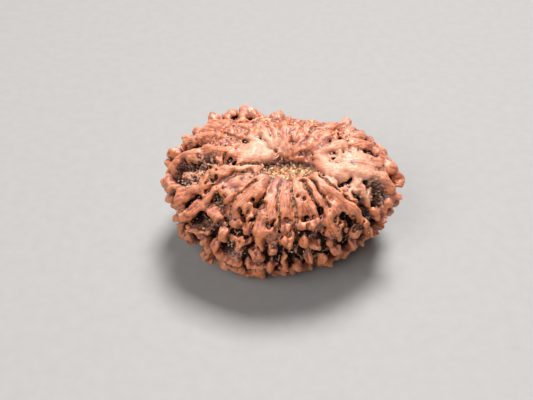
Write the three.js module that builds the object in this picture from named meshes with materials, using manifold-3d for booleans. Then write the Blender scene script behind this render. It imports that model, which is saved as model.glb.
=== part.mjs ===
// Rudraksha seed: one woody seed with many faces, lying on a surface with its scar turned up
// and a little forward. Millimetres, +Z up. The seed is worked out in its own frame, with
// its polar axis along Z, and is then tilted and set down.
//
// Azimuths run from +X (right) over +Y (back), colatitudes from the pole with the scar, both
// in degrees. The form is a smooth valley floor, with ground that is higher near the poles
// than at the waist, rounded ridges and knobs that stand on it, and pits and gaps sunk between
// and into them. What can be seen was read off by eye, and a seeded rule goes on with the same
// kind of relief over the sides that can't.
import * as THREE from 'three';
import { mergeVertices } from 'three/addons/utils/BufferGeometryUtils.js';
import { SimplifyModifier } from 'three/addons/modifiers/SimplifyModifier.js';
import Module from 'manifold-3d';

// Valley floor of the seed.
const HALF_LENGTH = 13.7;
const HALF_FRONT = 9.7;
const HALF_BACK = 9.5;
const HALF_HEIGHT = 8.5;
const PLAN_POWER_FRONT = 1.8;
const PLAN_POWER_BACK = 2.15;
const SIDE_POWER_PLAN = 2.35;
const SIDE_POWER_HEIGHT = 2.22;
const SLIMMER_TO_THE_RIGHT = 0.12;
const POLE_OFFSET = 0.8;
const WAIST = { depth: 1.8, x: 2.8, width: 5 };
const DIMPLE = { depth: 1.5, length: 4.2, width: 2.6, fade: 0.5 };

// Scar at the upper pole.
const SCAR = {
  x: 0.7, y: -0.4, halfLength: 2.85, halfWidth: 1.15, power: 2.6, depth: 0.25, steepness: 0.8, blend: 0.3,
};

// Shape of the relief.
const RIDGE_SCALE = 0.95;
const RIDGE_SHOULDER = 0.15;
const WIDTH_SCALE = 0.82;
const WIDER_NEAR_THE_POLES = 0.5;
const END_BLUNTNESS = 1.2;
const UNDERCUT = { knob: 0.25, broad: 0.1, broadFrom: 1.2 };
const SMALLEST_RISE = 0.5;
const RIDGE_MERGE = 0.3;
const RIDGE_BLEND = 0.15;
const RIDGE_REACH = { widths: 1.3, spare: 1.2 };
const PIT_BLEND = 0.45;
const GAP_BLEND = 0.2;
const PIT_RIM = 0.35;
const PIT_REACH = { widths: 1.3, spare: 1.5 };
const LEAN = 0.15;
const PIT_LEAN = 0.45;
const LEAN_LIMIT = 2;
const THINNING = { start: 1.6, reach: 2.6, least: 0.5, stretch: 1.5 };
const GROUND = { low: -0.8, rise: 1.3, from: 2.6, over: 5 };
const WARP = { size: 0.14, wavelength: 3.2, waves: 5 };
const SWELL = { size: 0.13, wavelength: 2, waves: 7, onCrests: 0.5 };
const WAVELENGTH_SHARES = [0.7, 1.3];

// Where the seed lies: the tilt of its pole towards the front, in degrees, and its centre, so
// low that the knobs beneath it are worn flat by the surface.
const TILT = 24;
const CENTRE = { x: 0.2, y: 0.11, z: 9 };
const SEED_OF_CHANCE = 20261130;

// Grid that the form is worked out on, and the triangles that are left of its surface.
const HALF_SPACE = [17, 12.6, 11.4];
const CELL = 0.34;
const BLOCK = 8;
const TALLEST = 2.6;
const DEEPEST = -2.6;
const FAR_SIDE = 4;
const FAR_AWAY = 99;
const TRIANGLES = 11400;
const OFF_CORNERS = 0.05;
const PARTING = 0.1;

// Ridges and knobs: height, half width at the start and at the end, and the crest's path.
const RIDGES = [
  // Shoulders beside the scar.
  [1.1, 1.2, 1.2, [[152, 9], [160, 14], [167, 17]]],
  [1, 1, 1, [[12.5, 12], [353, 18.5], [352.5, 23.5], [358.5, 27], [356.5, 33], [358, 39.5]]],
  [1, 0.8, 0.6, [[8.5, 27.5], [7, 37.5], [5.5, 43], [5, 49]]],
  // Upper left.
  [1.2, 0.6, 0.6, [[156, 39], [157, 48], [159, 57], [163, 66]]],
  [0.9, 2, 2, [[146, 51], [148, 56]]],
  [0.8, 0.45, 0.45, [[167, 41], [167, 47], [168, 54]]],
  [1.2, 0.6, 0.6, [[167.5, 24], [168, 31], [167, 36], [165.5, 40]]],
  [1.3, 0.7, 0.7, [[169, 45], [170.5, 50], [169.5, 57]]],
  [0.8, 0.5, 0.5, [[142, 36.5], [137, 36.5], [133, 33]]],
  [1, 0.6, 0.6, [[150, 70], [151, 75]]],
  [1.1, 0.7, 0.7, [[149, 83], [150, 92]]],
  [1.5, 0.7, 0.7, [[157, 72], [157, 79]]],
  [1, 0.7, 0.7, [[157, 87], [158, 95]]],
  [1.8, 0.8, 0.8, [[164, 76], [164, 83]]],
  [1.7, 0.8, 0.8, [[142, 64], [141, 70]]],
  [1.1, 0.6, 0.6, [[136, 72], [135, 90]]],
  [1.3, 0.8, 0.8, [[131, 62], [130, 72]]],
  // Back rim and the thin radial ridges on top.
  [1.5, 0.9, 0.9, [[124, 50], [121.5, 61]]],
  [0.9, 0.6, 0.6, [[120, 68], [119, 84]]],
  [0.8, 0.6, 0.6, [[117, 46], [115, 58], [113, 66]]],
  [1.1, 0.9, 0.9, [[98, 47], [97, 58]]],
  [0.6, 0.6, 0.6, [[106, 76], [105, 90]]],
  [0.7, 0.7, 0.7, [[96, 66], [95, 84]]],
  [0.5, 0.8, 0.8, [[88, 38], [87, 52]]],
  [0.6, 0.6, 0.6, [[86, 64], [86, 82]]],
  [0.4, 0.7, 0.7, [[71, 36], [71, 52]]],
  [0.6, 0.6, 0.6, [[76, 72], [75, 88]]],
  [0.6, 0.6, 0.6, [[67, 62], [66, 80]]],
  [0.5, 0.7, 0.7, [[59, 38], [58, 52]]],
  [0.7, 0.6, 0.6, [[56, 64], [55, 82]]],
  [0.9, 0.5, 0.5, [[127, 11], [126, 20], [124, 32]]],
  [0.9, 0.45, 0.45, [[112, 8], [111, 18], [110, 30]]],
  [0.9, 0.8, 0.8, [[94, 7], [95, 18], [96, 32]]],
  [0.8, 0.5, 0.5, [[80, 7], [79, 12]]],
  [0.8, 0.5, 0.5, [[76, 18], [78, 30]]],
  [0.9, 0.4, 0.4, [[64, 9], [64, 20], [66, 30]]],
  [0.9, 0.4, 0.4, [[51, 10], [51, 20], [52, 30]]],
  [0.8, 0.5, 0.5, [[142, 14], [141, 24]]],
  [0.8, 0.5, 0.5, [[135, 27], [128, 30]]],
  // Back right.
  [0.8, 0.5, 0.5, [[42, 12], [43, 22], [42, 32]]],
  [0.8, 0.6, 0.6, [[28, 13], [26, 22], [26, 31]]],
  [0.9, 0.6, 0.6, [[50, 40], [48, 50], [45, 58]]],
  [1.8, 0.7, 0.7, [[44, 58], [44, 64]]],
  [0.8, 0.7, 0.7, [[46, 70], [45, 86]]],
  [0.9, 0.6, 0.6, [[38, 44], [38, 60]]],
  [0.8, 0.6, 0.6, [[37, 68], [36, 84]]],
  [0.9, 0.8, 0.8, [[31, 44], [32, 61]]],
  [0.9, 0.6, 0.6, [[26, 38], [22, 42], [20, 50]]],
  [1.1, 0.6, 0.6, [[15, 51], [17, 58]]],
  [0.9, 0.7, 0.7, [[26, 60], [27, 66]]],
  [0.9, 0.7, 0.7, [[29, 74], [28, 88]]],
  [0.8, 0.6, 0.6, [[20, 62], [20, 68]]],
  [0.9, 0.7, 0.7, [[20, 76], [19, 88]]],
  [0.9, 0.8, 0.8, [[11, 54], [12, 66]]],
  [1.1, 0.7, 0.7, [[11, 75], [10, 86]]],
  [1.1, 0.8, 0.8, [[6, 54], [7, 62]]],
  // Left.
  [1.3, 0.65, 0.65, [[169.5, 59], [173, 66], [175.5, 74], [179, 74], [184, 68.5], [185.5, 64]]],
  [0.7, 0.4, 0.4, [[181, 51], [180, 57]]],
  [1.1, 0.6, 0.6, [[190.5, 46.5], [190, 52.5]]],
  [1.3, 1.1, 1.1, [[190.5, 57.5], [191.5, 67]]],
  [1.7, 0.7, 0.7, [[168, 84], [168, 91]]],
  [1.7, 0.7, 0.7, [[177, 85], [177, 93]]],
  [1.2, 0.7, 0.7, [[186, 75], [186, 82]]],
  [1.1, 0.6, 0.6, [[195, 69], [194.5, 73]]],
  [1.1, 0.6, 0.6, [[195.5, 78], [195.5, 85]]],
  [1.1, 0.85, 0.85, [[183, 9], [188, 14], [186, 20], [186, 26], [187.5, 30], [186.5, 35],
   [188, 38.5], [190.5, 41], [192.5, 43.5]]],
  [0.9, 0.9, 0.9, [[194.5, 24], [196.5, 32]]],
  [0.7, 0.6, 0.6, [[205, 17], [203, 23]]],
  [1.3, 0.55, 0.45, [[208.5, 35], [206, 32.5], [201.5, 33.5], [197.8, 36.5], [198, 40], [199.5, 44],
   [201.5, 47], [200.5, 53], [200, 58], [198.5, 63]]],
  [1.4, 0.85, 0.85, [[198, 67], [199, 71.5]]],
  [0.9, 0.5, 0.5, [[203, 49], [207, 47], [211, 49.5]]],
  [1.3, 1, 1, [[212, 13], [217, 18], [220, 23], [219.5, 29], [221.5, 35]]],
  [1.2, 0.8, 0.8, [[220, 21], [225, 21.5]]],
  [1, 0.65, 0.65, [[236, 10], [243, 15], [247, 18]]],
  // Lower left.
  [0.9, 0.5, 0.5, [[197, 94], [197, 101]]],
  [0.6, 0.4, 0.4, [[203, 84], [204, 90]]],
  [1.1, 0.6, 0.6, [[209, 49.5], [213.5, 50]]],
  [1, 0.45, 0.45, [[204, 74], [209, 72], [215, 65]]],
  [0.9, 0.45, 0.45, [[212.5, 72], [212.5, 76]]],
  [1, 0.5, 0.5, [[216.5, 75], [216.5, 79]]],
  [1, 0.6, 0.6, [[219, 82], [219, 87]]],
  [1.2, 0.7, 0.7, [[224, 57.5], [223.5, 60.5]]],
  [1, 0.55, 0.55, [[223, 40.5], [223.5, 47]]],
  [0.9, 0.35, 0.35, [[229, 36.5], [236, 39]]],
  [1.2, 0.9, 0.3, [[234, 41], [235.5, 46], [236.5, 50]]],
  [1.2, 0.7, 0.7, [[237, 56], [237.5, 59]]],
  [1.1, 0.6, 0.6, [[237, 65], [237, 67.5]]],
  [0.9, 0.4, 0.4, [[232, 57], [232, 60]]],
  [1.4, 1, 0.45, [[247, 43], [248.5, 50], [250.5, 58]]],
  [1.2, 0.65, 0.8, [[247, 64], [250, 68.5], [252, 72]]],
  [1.1, 0.5, 0.5, [[223.5, 69], [223, 78], [226, 83], [230.5, 86], [236.5, 83.5], [240.5, 82]]],
  [1.2, 0.7, 0.7, [[242, 99], [242, 105]]],
  [0.9, 0.5, 0.5, [[246, 84], [251, 87], [257, 85]]],
  [1.2, 1.3, 1.3, [[245, 24], [246, 30], [250, 35]]],
  [0.9, 0.55, 0.55, [[257, 23], [256, 26]]],
  [0.7, 0.35, 0.35, [[261, 33], [261, 35]]],
  [0.9, 0.5, 0.5, [[262, 13], [262, 18]]],
  [1, 0.65, 0.65, [[269, 18], [268, 27], [269, 33.5]]],
  [1.1, 0.9, 0.7, [[267.5, 39], [269, 42]]],
  [1.3, 0.9, 0.4, [[270, 49.5], [271, 55]]],
  [1.1, 0.5, 0.5, [[260, 57.5], [260, 62]]],
  [0.8, 0.45, 0.45, [[257, 44], [258, 51]]],
  [1, 0.4, 0.4, [[270, 68], [271, 78], [270, 90]]],
  [1, 0.6, 0.6, [[262, 82], [262, 90]]],
  [1, 0.7, 0.7, [[254, 92], [253, 99]]],
  [1.1, 0.6, 0.6, [[279, 84], [280, 92]]],
  // Lower right.
  [1.1, 0.9, 0.9, [[285, 8], [293, 15], [296, 21], [297, 27], [297, 32]]],
  [1, 0.55, 0.55, [[283, 14], [283, 22], [282, 31]]],
  [1.3, 0.7, 0.7, [[284.5, 39], [285, 42]]],
  [1.3, 0.75, 0.75, [[293.5, 39.5], [293, 42]]],
  [1.2, 0.65, 0.65, [[284.5, 54.5], [284.5, 56.5]]],
  [1, 0.45, 0.45, [[290, 60], [294, 63]]],
  [0.9, 0.5, 0.5, [[303.5, 55], [303.5, 57]]],
  [1.2, 0.9, 0.9, [[305, 10], [309, 18], [310, 25], [309.5, 31], [309, 37]]],
  [1.4, 0.8, 0.8, [[306.5, 40.5], [305.5, 42.5]]],
  [1.2, 0.9, 0.9, [[331, 12], [330, 18], [330, 24], [328, 30], [326, 35], [327, 39]]],
  [1.2, 0.65, 0.65, [[315, 36], [318, 41], [321, 45], [324, 50]]],
  [1.3, 0.75, 0.4, [[329, 40], [327, 46], [326, 52], [326, 58], [328, 66], [329, 75], [329, 83]]],
  [1, 0.4, 0.4, [[312, 51], [316, 50], [318, 54], [316, 58]]],
  [1.3, 0.75, 0.75, [[309.5, 47], [309.5, 53]]],
  [0.9, 0.35, 0.35, [[309, 57], [308.5, 66]]],
  [1, 0.4, 0.4, [[338, 59], [336.5, 70]]],
  [0.8, 0.3, 0.3, [[340.5, 35], [340, 37]]],
  [1.3, 0.65, 0.85, [[356.5, 43], [356.5, 50], [354.5, 57.5], [352.5, 63.5], [348.5, 67], [344, 68]]],
  [0.7, 0.35, 0.4, [[349.5, 33], [346.5, 37], [341, 44], [338.5, 53]]],
  [1.6, 0.75, 0.6, [[4, 55], [3, 61], [0.5, 67], [357, 69]]],
  [2.2, 0.6, 0.6, [[350.5, 66.5], [350.5, 67.5]]],
  [1.2, 0.7, 0.7, [[345, 76], [345, 79]]],
  [1.3, 0.7, 0.7, [[352, 78], [351.5, 83]]],
  [1, 0.45, 0.45, [[340.5, 69], [340, 72]]],
  [1.1, 0.6, 0.6, [[347, 86], [347, 92]]],
  [1.3, 0.6, 0.6, [[335, 94], [335, 98]]],
  [1.3, 0.7, 0.7, [[328, 102], [328, 106]]],
  [1, 0.5, 0.5, [[302, 63], [302, 66]]],
  [1.1, 0.65, 0.65, [[305, 78], [309, 79]]],
  [1, 1.2, 1.2, [[320, 72], [326, 69]]],
  [1.1, 0.6, 0.6, [[319, 88], [319, 94]]],
  [1, 0.45, 0.45, [[288, 75], [287, 82]]],
  [1.1, 0.5, 0.5, [[297, 84], [297, 90]]],
];

// Pits: depth below the floor, half width and path.
const PITS = [
  [0.5, 0.5, [[134, 42], [139, 39.5]]],
  [0.4, 0.35, [[124, 46.5], [122, 45]]],
  [0.2, 0.3, [[151, 23.5], [146.5, 21.5]]],
  [0.2, 0.4, [[150.5, 48], [152.5, 43]]],
  [0.7, 0.5, [[196.5, 21], [197.5, 17.5], [196.5, 14]]],
  [1.7, 1.4, [[203.5, 57], [208, 66]]],
  [1.5, 1.2, [[228, 69], [239, 73]]],
  [0.5, 0.6, [[175, 52], [177.5, 44], [180.5, 38]]],
  [0.5, 0.45, [[172.5, 74], [175.5, 64]]],
  [0.6, 0.4, [[183.5, 63], [181, 58.5]]],
  [0.4, 0.35, [[251, 29], [251, 31]]],
  [0.5, 0.4, [[249, 20], [251, 22]]],
  [0.4, 0.2, [[276, 23], [276, 27]]],
  [0.4, 0.3, [[288.5, 27], [288.5, 29]]],
  [0.6, 0.4, [[302, 35.5], [302, 37.5]]],
  [0.7, 0.5, [[338, 16], [341, 22], [340, 27]]],
  [0.8, 0.5, [[345, 28.5], [344, 30.5]]],
  [0.6, 0.5, [[350, 12], [346, 16]]],
  [0.7, 0.45, [[316, 29], [320.5, 34], [322.5, 39]]],
  [0.8, 0.45, [[335.5, 40.5], [335, 50], [335, 64]]],
  [1.4, 1.2, [[350, 51], [348, 59]]],
  [0.5, 0.35, [[351.5, 40], [348, 43]]],
  [0.6, 0.4, [[348, 40], [348, 42]]],
  [0.8, 0.5, [[4, 54], [0.5, 50.5]]],
  [0.6, 0.4, [[359.5, 57], [358.5, 64]]],
  [0.6, 0.5, [[18, 45.5], [18, 47]]],
  [0.5, 0.35, [[13.5, 47], [14, 50]]],
  [0.7, 0.5, [[313, 66], [313, 70]]],
  [0.5, 0.35, [[314.5, 56], [314.5, 57]]],
  [0.35, 0.3, [[116, 19.5], [118, 16.5]]],
  [0.15, 0.25, [[103, 14], [103, 20]]],
  [0.35, 0.28, [[80, 14], [80, 15]]],
  [0.2, 0.3, [[70, 14], [70, 15]]],
  [0.1, 0.25, [[131, 20.5], [129, 21.5]]],
  [0.1, 0.25, [[130, 14.5], [130, 15.5]]],
  [0.2, 0.3, [[133, 29], [131, 30]]],
  [0.1, 0.28, [[23, 34.5], [23, 35.5]]],
  [0.1, 0.25, [[22, 26], [22, 27]]],
  [0.1, 0.25, [[15, 28], [14, 28]]],
  [0.1, 0.25, [[34, 33], [33, 33]]],
  [0.1, 0.25, [[38, 25], [38, 24]]],
  [0.1, 0.25, [[32.5, 20.5], [32.5, 21]]],
  [0.1, 0.28, [[32, 14], [32, 15]]],
  [0.1, 0.28, [[20, 15], [20, 16]]],
  [0.4, 0.3, [[45, 42], [45, 44]]],
];

// Gaps cut between and into the ridges: depth below the floor, half width and path.
const GAPS = [
  [0.3, 0.38, [[165, 65], [164, 56], [163, 46]]],
  [0.3, 0.33, [[174.5, 43], [175, 36]]],
  [0.2, 0.33, [[175, 28], [176.5, 23]]],
  [0.3, 0.35, [[189, 38.5], [189, 33]]],
  [0.7, 0.2, [[289, 38.5], [289, 43]]],
  [0.1, 0.3, [[10, 18.5], [10, 19.5]]],
  [0.2, 0.22, [[265, 36.3], [271.5, 36.3]]],
  [0.3, 0.3, [[265.5, 46], [273, 46]]],
  [0.4, 0.3, [[231, 53], [240, 53]]],
  [0.4, 0.3, [[234, 62], [240, 62]]],
  [0.5, 0.3, [[246, 61.3], [254, 61.3]]],
  [0.5, 0.3, [[223.5, 38], [228, 37.5]]],
  [0.5, 0.35, [[228, 41], [236, 41]]],
  [0.6, 0.35, [[249, 38.5], [257, 39]]],
  [0.6, 0.35, [[286, 36], [292, 36]]],
  [0.6, 0.4, [[282, 49], [292, 49.5]]],
  [1.1, 0.75, [[316.5, 47], [320, 53], [323, 62], [327, 73]]],
  [0.7, 0.6, [[231, 26], [235, 27]]],
  [0.9, 0.8, [[203.5, 38], [203.5, 39]]],
  [0.3, 0.25, [[290, 21], [290.5, 22.5]]],
  [0.7, 0.5, [[305, 32], [304, 34]]],
];

// Relief of the sides that can't be seen: rows of knobs from the edge of what can, some with a
// lower and thinner bridge to the next. Swings and falls are shares of the step between knobs.
const HIDDEN = {
  edge: 91.5, edgeSwing: 13.5, firstRow: 62, lastRow: 166, rowStep: 9.5, spacing: 2.2,
  meanRadius: 11.5, height: [1.0, 1.45], halfWidth: [0.5, 0.9], length: [4, 15],
  sidewaysSwing: 0.7, downwardSwing: 0.5, sway: 0.5,
};
const BRIDGES = { share: 0.3, height: 0.8, width: 0.7, fall: 0.3 };
const HIDDEN_PITS = { share: 0.18, depth: 0.8, length: 3, halfWidth: [0.5, 0.9], middle: 0.5 };

const radians = THREE.MathUtils.degToRad;
const { clamp, lerp } = THREE.MathUtils;

// Repeatable draws between 0 and 1.
function makeDraw(start) {
  let state = start;
  return () => {
    state = (state * 1664525 + 1013904223) % 4294967296;
    return state / 4294967296;
  };
}

// A sum of plane waves in random directions, about 1 in size.
function makeWaves({ wavelength, waves }, draw) {
  const list = [];
  for (let i = 0; i < waves; i += 1) {
    const up = 2 * draw() - 1;
    const turn = 2 * Math.PI * draw();
    const flat = Math.sqrt(1 - up * up);
    const number = 2 * Math.PI / (wavelength * lerp(...WAVELENGTH_SHARES, draw()));
    list.push([
      number * flat * Math.cos(turn), number * flat * Math.sin(turn), number * up,
      2 * Math.PI * draw(),
    ]);
  }
  const scale = Math.sqrt(2 / waves);
  return (p) => {
    let sum = 0;
    for (const [x, y, z, phase] of list) sum += Math.sin(p[0] * x + p[1] * y + p[2] * z + phase);
    return sum * scale;
  };
}

// Smooth minimum and maximum of two distances.
function blend(a, b, reach) {
  const overlap = Math.max(reach - Math.abs(a - b), 0);
  return Math.min(a, b) - overlap * overlap / (4 * reach);
}

function carve(field, hole, reach) {
  return -blend(-field, hole, reach);
}

// Depth of the dimple round the scar, for a height as a share of the seed's half height. The
// underside has none.
function dimpleDepth(x, y, rise) {
  const upper = clamp(DIMPLE.fade + rise, 0, 1);
  return upper * DIMPLE.depth * Math.exp(-((x / DIMPLE.length) ** 2) - (y / DIMPLE.width) ** 2);
}

// Size of the seed's floor at a point, 1 on the floor itself.
function floorRatio(px, py, pz) {
  const x = px - POLE_OFFSET * clamp(pz / HALF_HEIGHT, -1, 1);
  const dimple = dimpleDepth(x, py, pz / HALF_HEIGHT);
  const z = Math.abs(pz) + dimple;
  const waist = WAIST.depth * Math.exp(-(((x - WAIST.x) / WAIST.width) ** 2));
  let y = py + waist * clamp(py / HALF_BACK, 0, 1) ** 2;
  y /= 1 - SLIMMER_TO_THE_RIGHT * clamp(x / HALF_LENGTH, -1, 1);
  const half = y > 0 ? HALF_BACK : HALF_FRONT;
  const power = y > 0 ? PLAN_POWER_BACK : PLAN_POWER_FRONT;
  const plan = (Math.abs(x / HALF_LENGTH) ** power + Math.abs(y / half) ** power + 1e-9) ** (1 / power);
  const sum = plan ** SIDE_POWER_PLAN + (z / HALF_HEIGHT) ** SIDE_POWER_HEIGHT;
  return sum ** (2 / (SIDE_POWER_PLAN + SIDE_POWER_HEIGHT));
}

// Height above the floor, in mm, and the direction away from it.
function floorAt([x, y, z]) {
  const reach = 0.05;
  const out = [
    floorRatio(x + reach, y, z) - floorRatio(x - reach, y, z),
    floorRatio(x, y + reach, z) - floorRatio(x, y - reach, z),
    floorRatio(x, y, z + reach) - floorRatio(x, y, z - reach),
  ];
  const slope = Math.hypot(...out);
  const above = (floorRatio(x, y, z) - 1) * 2 * reach / slope;
  return { above, out: out.map((part) => part / slope) };
}

// The floor's point at an azimuth and a colatitude.
function onFloor([azimuth, colatitude]) {
  const turn = radians(azimuth);
  const fall = radians(colatitude);
  const c = Math.cos(turn);
  const s = Math.sin(turn);
  const half = s < 0 ? HALF_FRONT : HALF_BACK;
  const power = s < 0 ? PLAN_POWER_FRONT : PLAN_POWER_BACK;
  const plan = (Math.abs(c / HALF_LENGTH) ** power + Math.abs(s / half) ** power) ** (-1 / power)
    * Math.sin(fall) ** (2 / SIDE_POWER_PLAN);
  const rise = Math.sign(Math.cos(fall)) * Math.abs(Math.cos(fall)) ** (2 / SIDE_POWER_HEIGHT);
  const x = plan * c;
  let y = plan * s * (1 - SLIMMER_TO_THE_RIGHT * clamp(x / HALF_LENGTH, -1, 1));
  y -= WAIST.depth * Math.exp(-(((x - WAIST.x) / WAIST.width) ** 2)) * clamp(y / HALF_BACK, 0, 1) ** 2;
  return [x + POLE_OFFSET * rise, y, HALF_HEIGHT * rise - dimpleDepth(x, y, rise)];
}

// A path over the floor, with its points, directions outward, half widths and a ball round it.
function makePath(stations, startWidth, endWidth, reach) {
  const points = stations.map(onFloor);
  const outs = points.map((point) => floorAt(point).out);
  const widths = points.map((_, i) => lerp(startWidth, endWidth, i / (points.length - 1)));
  const ball = new THREE.Box3().setFromPoints(points.map((point) => new THREE.Vector3(...point)))
    .getBoundingSphere(new THREE.Sphere());
  return { points, outs, widths, ball, reach: ball.radius + reach };
}

// The nearest place on a path: its half width and the distance across, as a share of it.
function acrossPath(path, q) {
  let best = null;
  for (let i = 0; i + 1 < path.points.length; i += 1) {
    const [from, to] = [path.points[i], path.points[i + 1]];
    const along = to.map((part, k) => part - from[k]);
    const way = q.map((part, k) => part - from[k]);
    const free = dot(way, along) / dot(along, along);
    const share = clamp(free, 0, 1);
    const past = (free - share) ** 2 * dot(along, along) * (END_BLUNTNESS ** 2 - 1);
    const rest = way.map((part, k) => part - share * along[k]);
    const sum = path.outs[i].map((part, k) => part + path.outs[i + 1][k]);
    const rise = dot(rest, sum) / Math.hypot(...sum);
    const across = Math.sqrt(Math.max(dot(rest, rest) + past - rise * rise, 0));
    const width = lerp(path.widths[i], path.widths[i + 1], share);
    if (Math.abs(rise) < FAR_SIDE && (!best || across / width < best.share)) {
      best = { share: across / width, width };
    }
  }
  return best;
}

function dot(a, b) {
  return a[0] * b[0] + a[1] * b[1] + a[2] * b[2];
}

// Ridges and pits of the hidden sides, in rings of knobs from the edge of what can be seen.
function makeHiddenRelief(draw) {
  const ridges = [];
  const pits = [];
  const between = ([low, high]) => lerp(low, high, draw());
  for (let ring = HIDDEN.firstRow; ring < HIDDEN.lastRow; ring += HIDDEN.rowStep) {
    const around = 2 * Math.PI * HIDDEN.meanRadius * Math.sin(radians(ring));
    const count = Math.round(around / HIDDEN.spacing);
    const stepAround = 360 / count;
    for (let i = 0; i < count; i += 1) {
      const azimuth = stepAround * (i + HIDDEN.sidewaysSwing * draw());
      const colatitude = ring + HIDDEN.rowStep * HIDDEN.downwardSwing * draw();
      const height = between(HIDDEN.height);
      const width = between(HIDDEN.halfWidth);
      const length = between(HIDDEN.length);
      const sway = stepAround * HIDDEN.sway * (draw() - 0.5);
      const bridged = draw() < BRIDGES.share;
      const pitted = draw() < HIDDEN_PITS.share;
      const pitWidth = between(HIDDEN_PITS.halfWidth);
      const edge = HIDDEN.edge - HIDDEN.edgeSwing * Math.sin(radians(azimuth));
      if (colatitude < edge) continue;
      ridges.push([height, width, width, [[azimuth, colatitude], [azimuth + sway, colatitude + length]]]);
      if (bridged) {
        const side = [azimuth + stepAround, colatitude + HIDDEN.rowStep * BRIDGES.fall];
        const narrow = width * BRIDGES.width;
        ridges.push([height * BRIDGES.height, narrow, narrow, [[azimuth, colatitude], side]]);
      }
      if (pitted) {
        const middle = azimuth + stepAround * HIDDEN_PITS.middle;
        const path = [[middle, colatitude], [middle, colatitude + HIDDEN_PITS.length]];
        pits.push([HIDDEN_PITS.depth, pitWidth, path]);
      }
    }
  }
  return { ridges, pits };
}

const draw = makeDraw(SEED_OF_CHANCE);
const warpWaves = [makeWaves(WARP, draw), makeWaves(WARP, draw), makeWaves(WARP, draw)];
const swellWaves = makeWaves(SWELL, draw);
const hidden = makeHiddenRelief(draw);

const ridges = [...RIDGES, ...hidden.ridges].map(([height, start, end, stations]) => {
  const widest = Math.max(start, end);
  const reach = widest * RIDGE_REACH.widths + height + RIDGE_REACH.spare;
  return {
    height: height * RIDGE_SCALE,
    undercut: widest < UNDERCUT.broadFrom ? UNDERCUT.knob : UNDERCUT.broad,
    path: makePath(stations, start * WIDTH_SCALE, end * WIDTH_SCALE, reach),
  };
});

function makeHole([depth, width, stations]) {
  const reach = width * PIT_REACH.widths + depth + PIT_REACH.spare;
  return { depth, path: makePath(stations, width, width, reach) };
}

const pits = [...PITS, ...hidden.pits].map(makeHole);
const gaps = GAPS.map(makeHole);

// The relief that reaches into a ball round a point.
function reliefNear(point, radius) {
  const isNear = ({ path: { ball, reach } }) => ball.center.distanceTo(point) < reach + radius;
  return { ridges: ridges.filter(isNear), pits: pits.filter(isNear), gaps: gaps.filter(isNear) };
}

// The whole form: negative inside the seed, positive outside, in about mm near its surface.
function seedField(p, relief) {
  const { above, out } = floorAt(p);
  const lean = clamp(above, 0, LEAN_LIMIT) * LEAN + clamp(above, -LEAN_LIMIT, 0) * PIT_LEAN;
  const lift = lean * Math.sign(p[2]);
  const q = p.map((part, k) => (
    part + WARP.size * warpWaves[k](p) + lift * ((k === 2 ? 1 : 0) - out[2] * out[k])
  ));
  const swell = SWELL.size * swellWaves(p);
  const polar = clamp((Math.abs(p[2]) - GROUND.from) / GROUND.over, 0, 1);
  const steepness = polar * polar * (3 - 2 * polar);
  const ground = GROUND.low + GROUND.rise * steepness;

  let field = sinkHoles(above - ground - swell, relief.pits, q, above, PIT_BLEND);
  const folds = foldField(p, q, relief.ridges, above + SWELL.onCrests * swell, steepness);
  field = blend(field, folds, RIDGE_BLEND);
  field = sinkHoles(field, relief.gaps, q, above, GAP_BLEND);
  return p[2] > 0 ? carve(field, scarField(p, above), SCAR.blend) : field;
}

// All ridges and knobs together, thinner round the scar and wider towards the poles.
function foldField(p, q, near, level, steepness) {
  const fromAxis = Math.hypot((p[0] - SCAR.x) / THINNING.stretch, p[1]);
  const thin = lerp(THINNING.least, 1, clamp((fromAxis - THINNING.start) / THINNING.reach, 0, 1))
    * (1 + WIDER_NEAR_THE_POLES * steepness);
  let folds = FAR_AWAY;
  for (const ridge of near) {
    const place = acrossPath(ridge.path, q);
    if (place) folds = blend(folds, ridgeField(place, level, ridge, thin), RIDGE_MERGE);
  }
  return folds;
}

// A ridge's cross-section: flanks drawn in below its shoulder, and a rounded crest.
function ridgeField({ share, width }, level, { height, undercut }, thin) {
  const shoulder = height * RIDGE_SHOULDER;
  const rise = height - shoulder;
  const below = clamp((shoulder - level) / shoulder, 0, 1);
  const size = below > 0
    ? share / thin / (1 - undercut * below * below)
    : Math.hypot(share / thin, (level - shoulder) / rise);
  return (size - 1) * Math.min(width * thin, Math.max(rise, SMALLEST_RISE));
}

// The form with pits or gaps sunk into it.
function sinkHoles(form, holes, q, above, reach) {
  let field = form;
  for (const { depth, path } of holes) {
    const near = acrossPath(path, q);
    if (near) {
      const sunk = Math.min(above - PIT_RIM, 0) / (depth + PIT_RIM);
      field = carve(field, (Math.hypot(near.share, sunk) - 1) * near.width, reach);
    }
  }
  return field;
}

// The slot of the scar, with its floor a little below the seed's own.
function scarField([x, y], above) {
  const along = Math.abs((x - SCAR.x) / SCAR.halfLength) ** SCAR.power;
  const across = Math.abs((y - SCAR.y) / SCAR.halfWidth) ** SCAR.power;
  const wall = ((along + across) ** (1 / SCAR.power) - 1) * SCAR.halfWidth * SCAR.steepness;
  return -blend(-wall, above + SCAR.depth, SCAR.blend);
}

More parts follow.
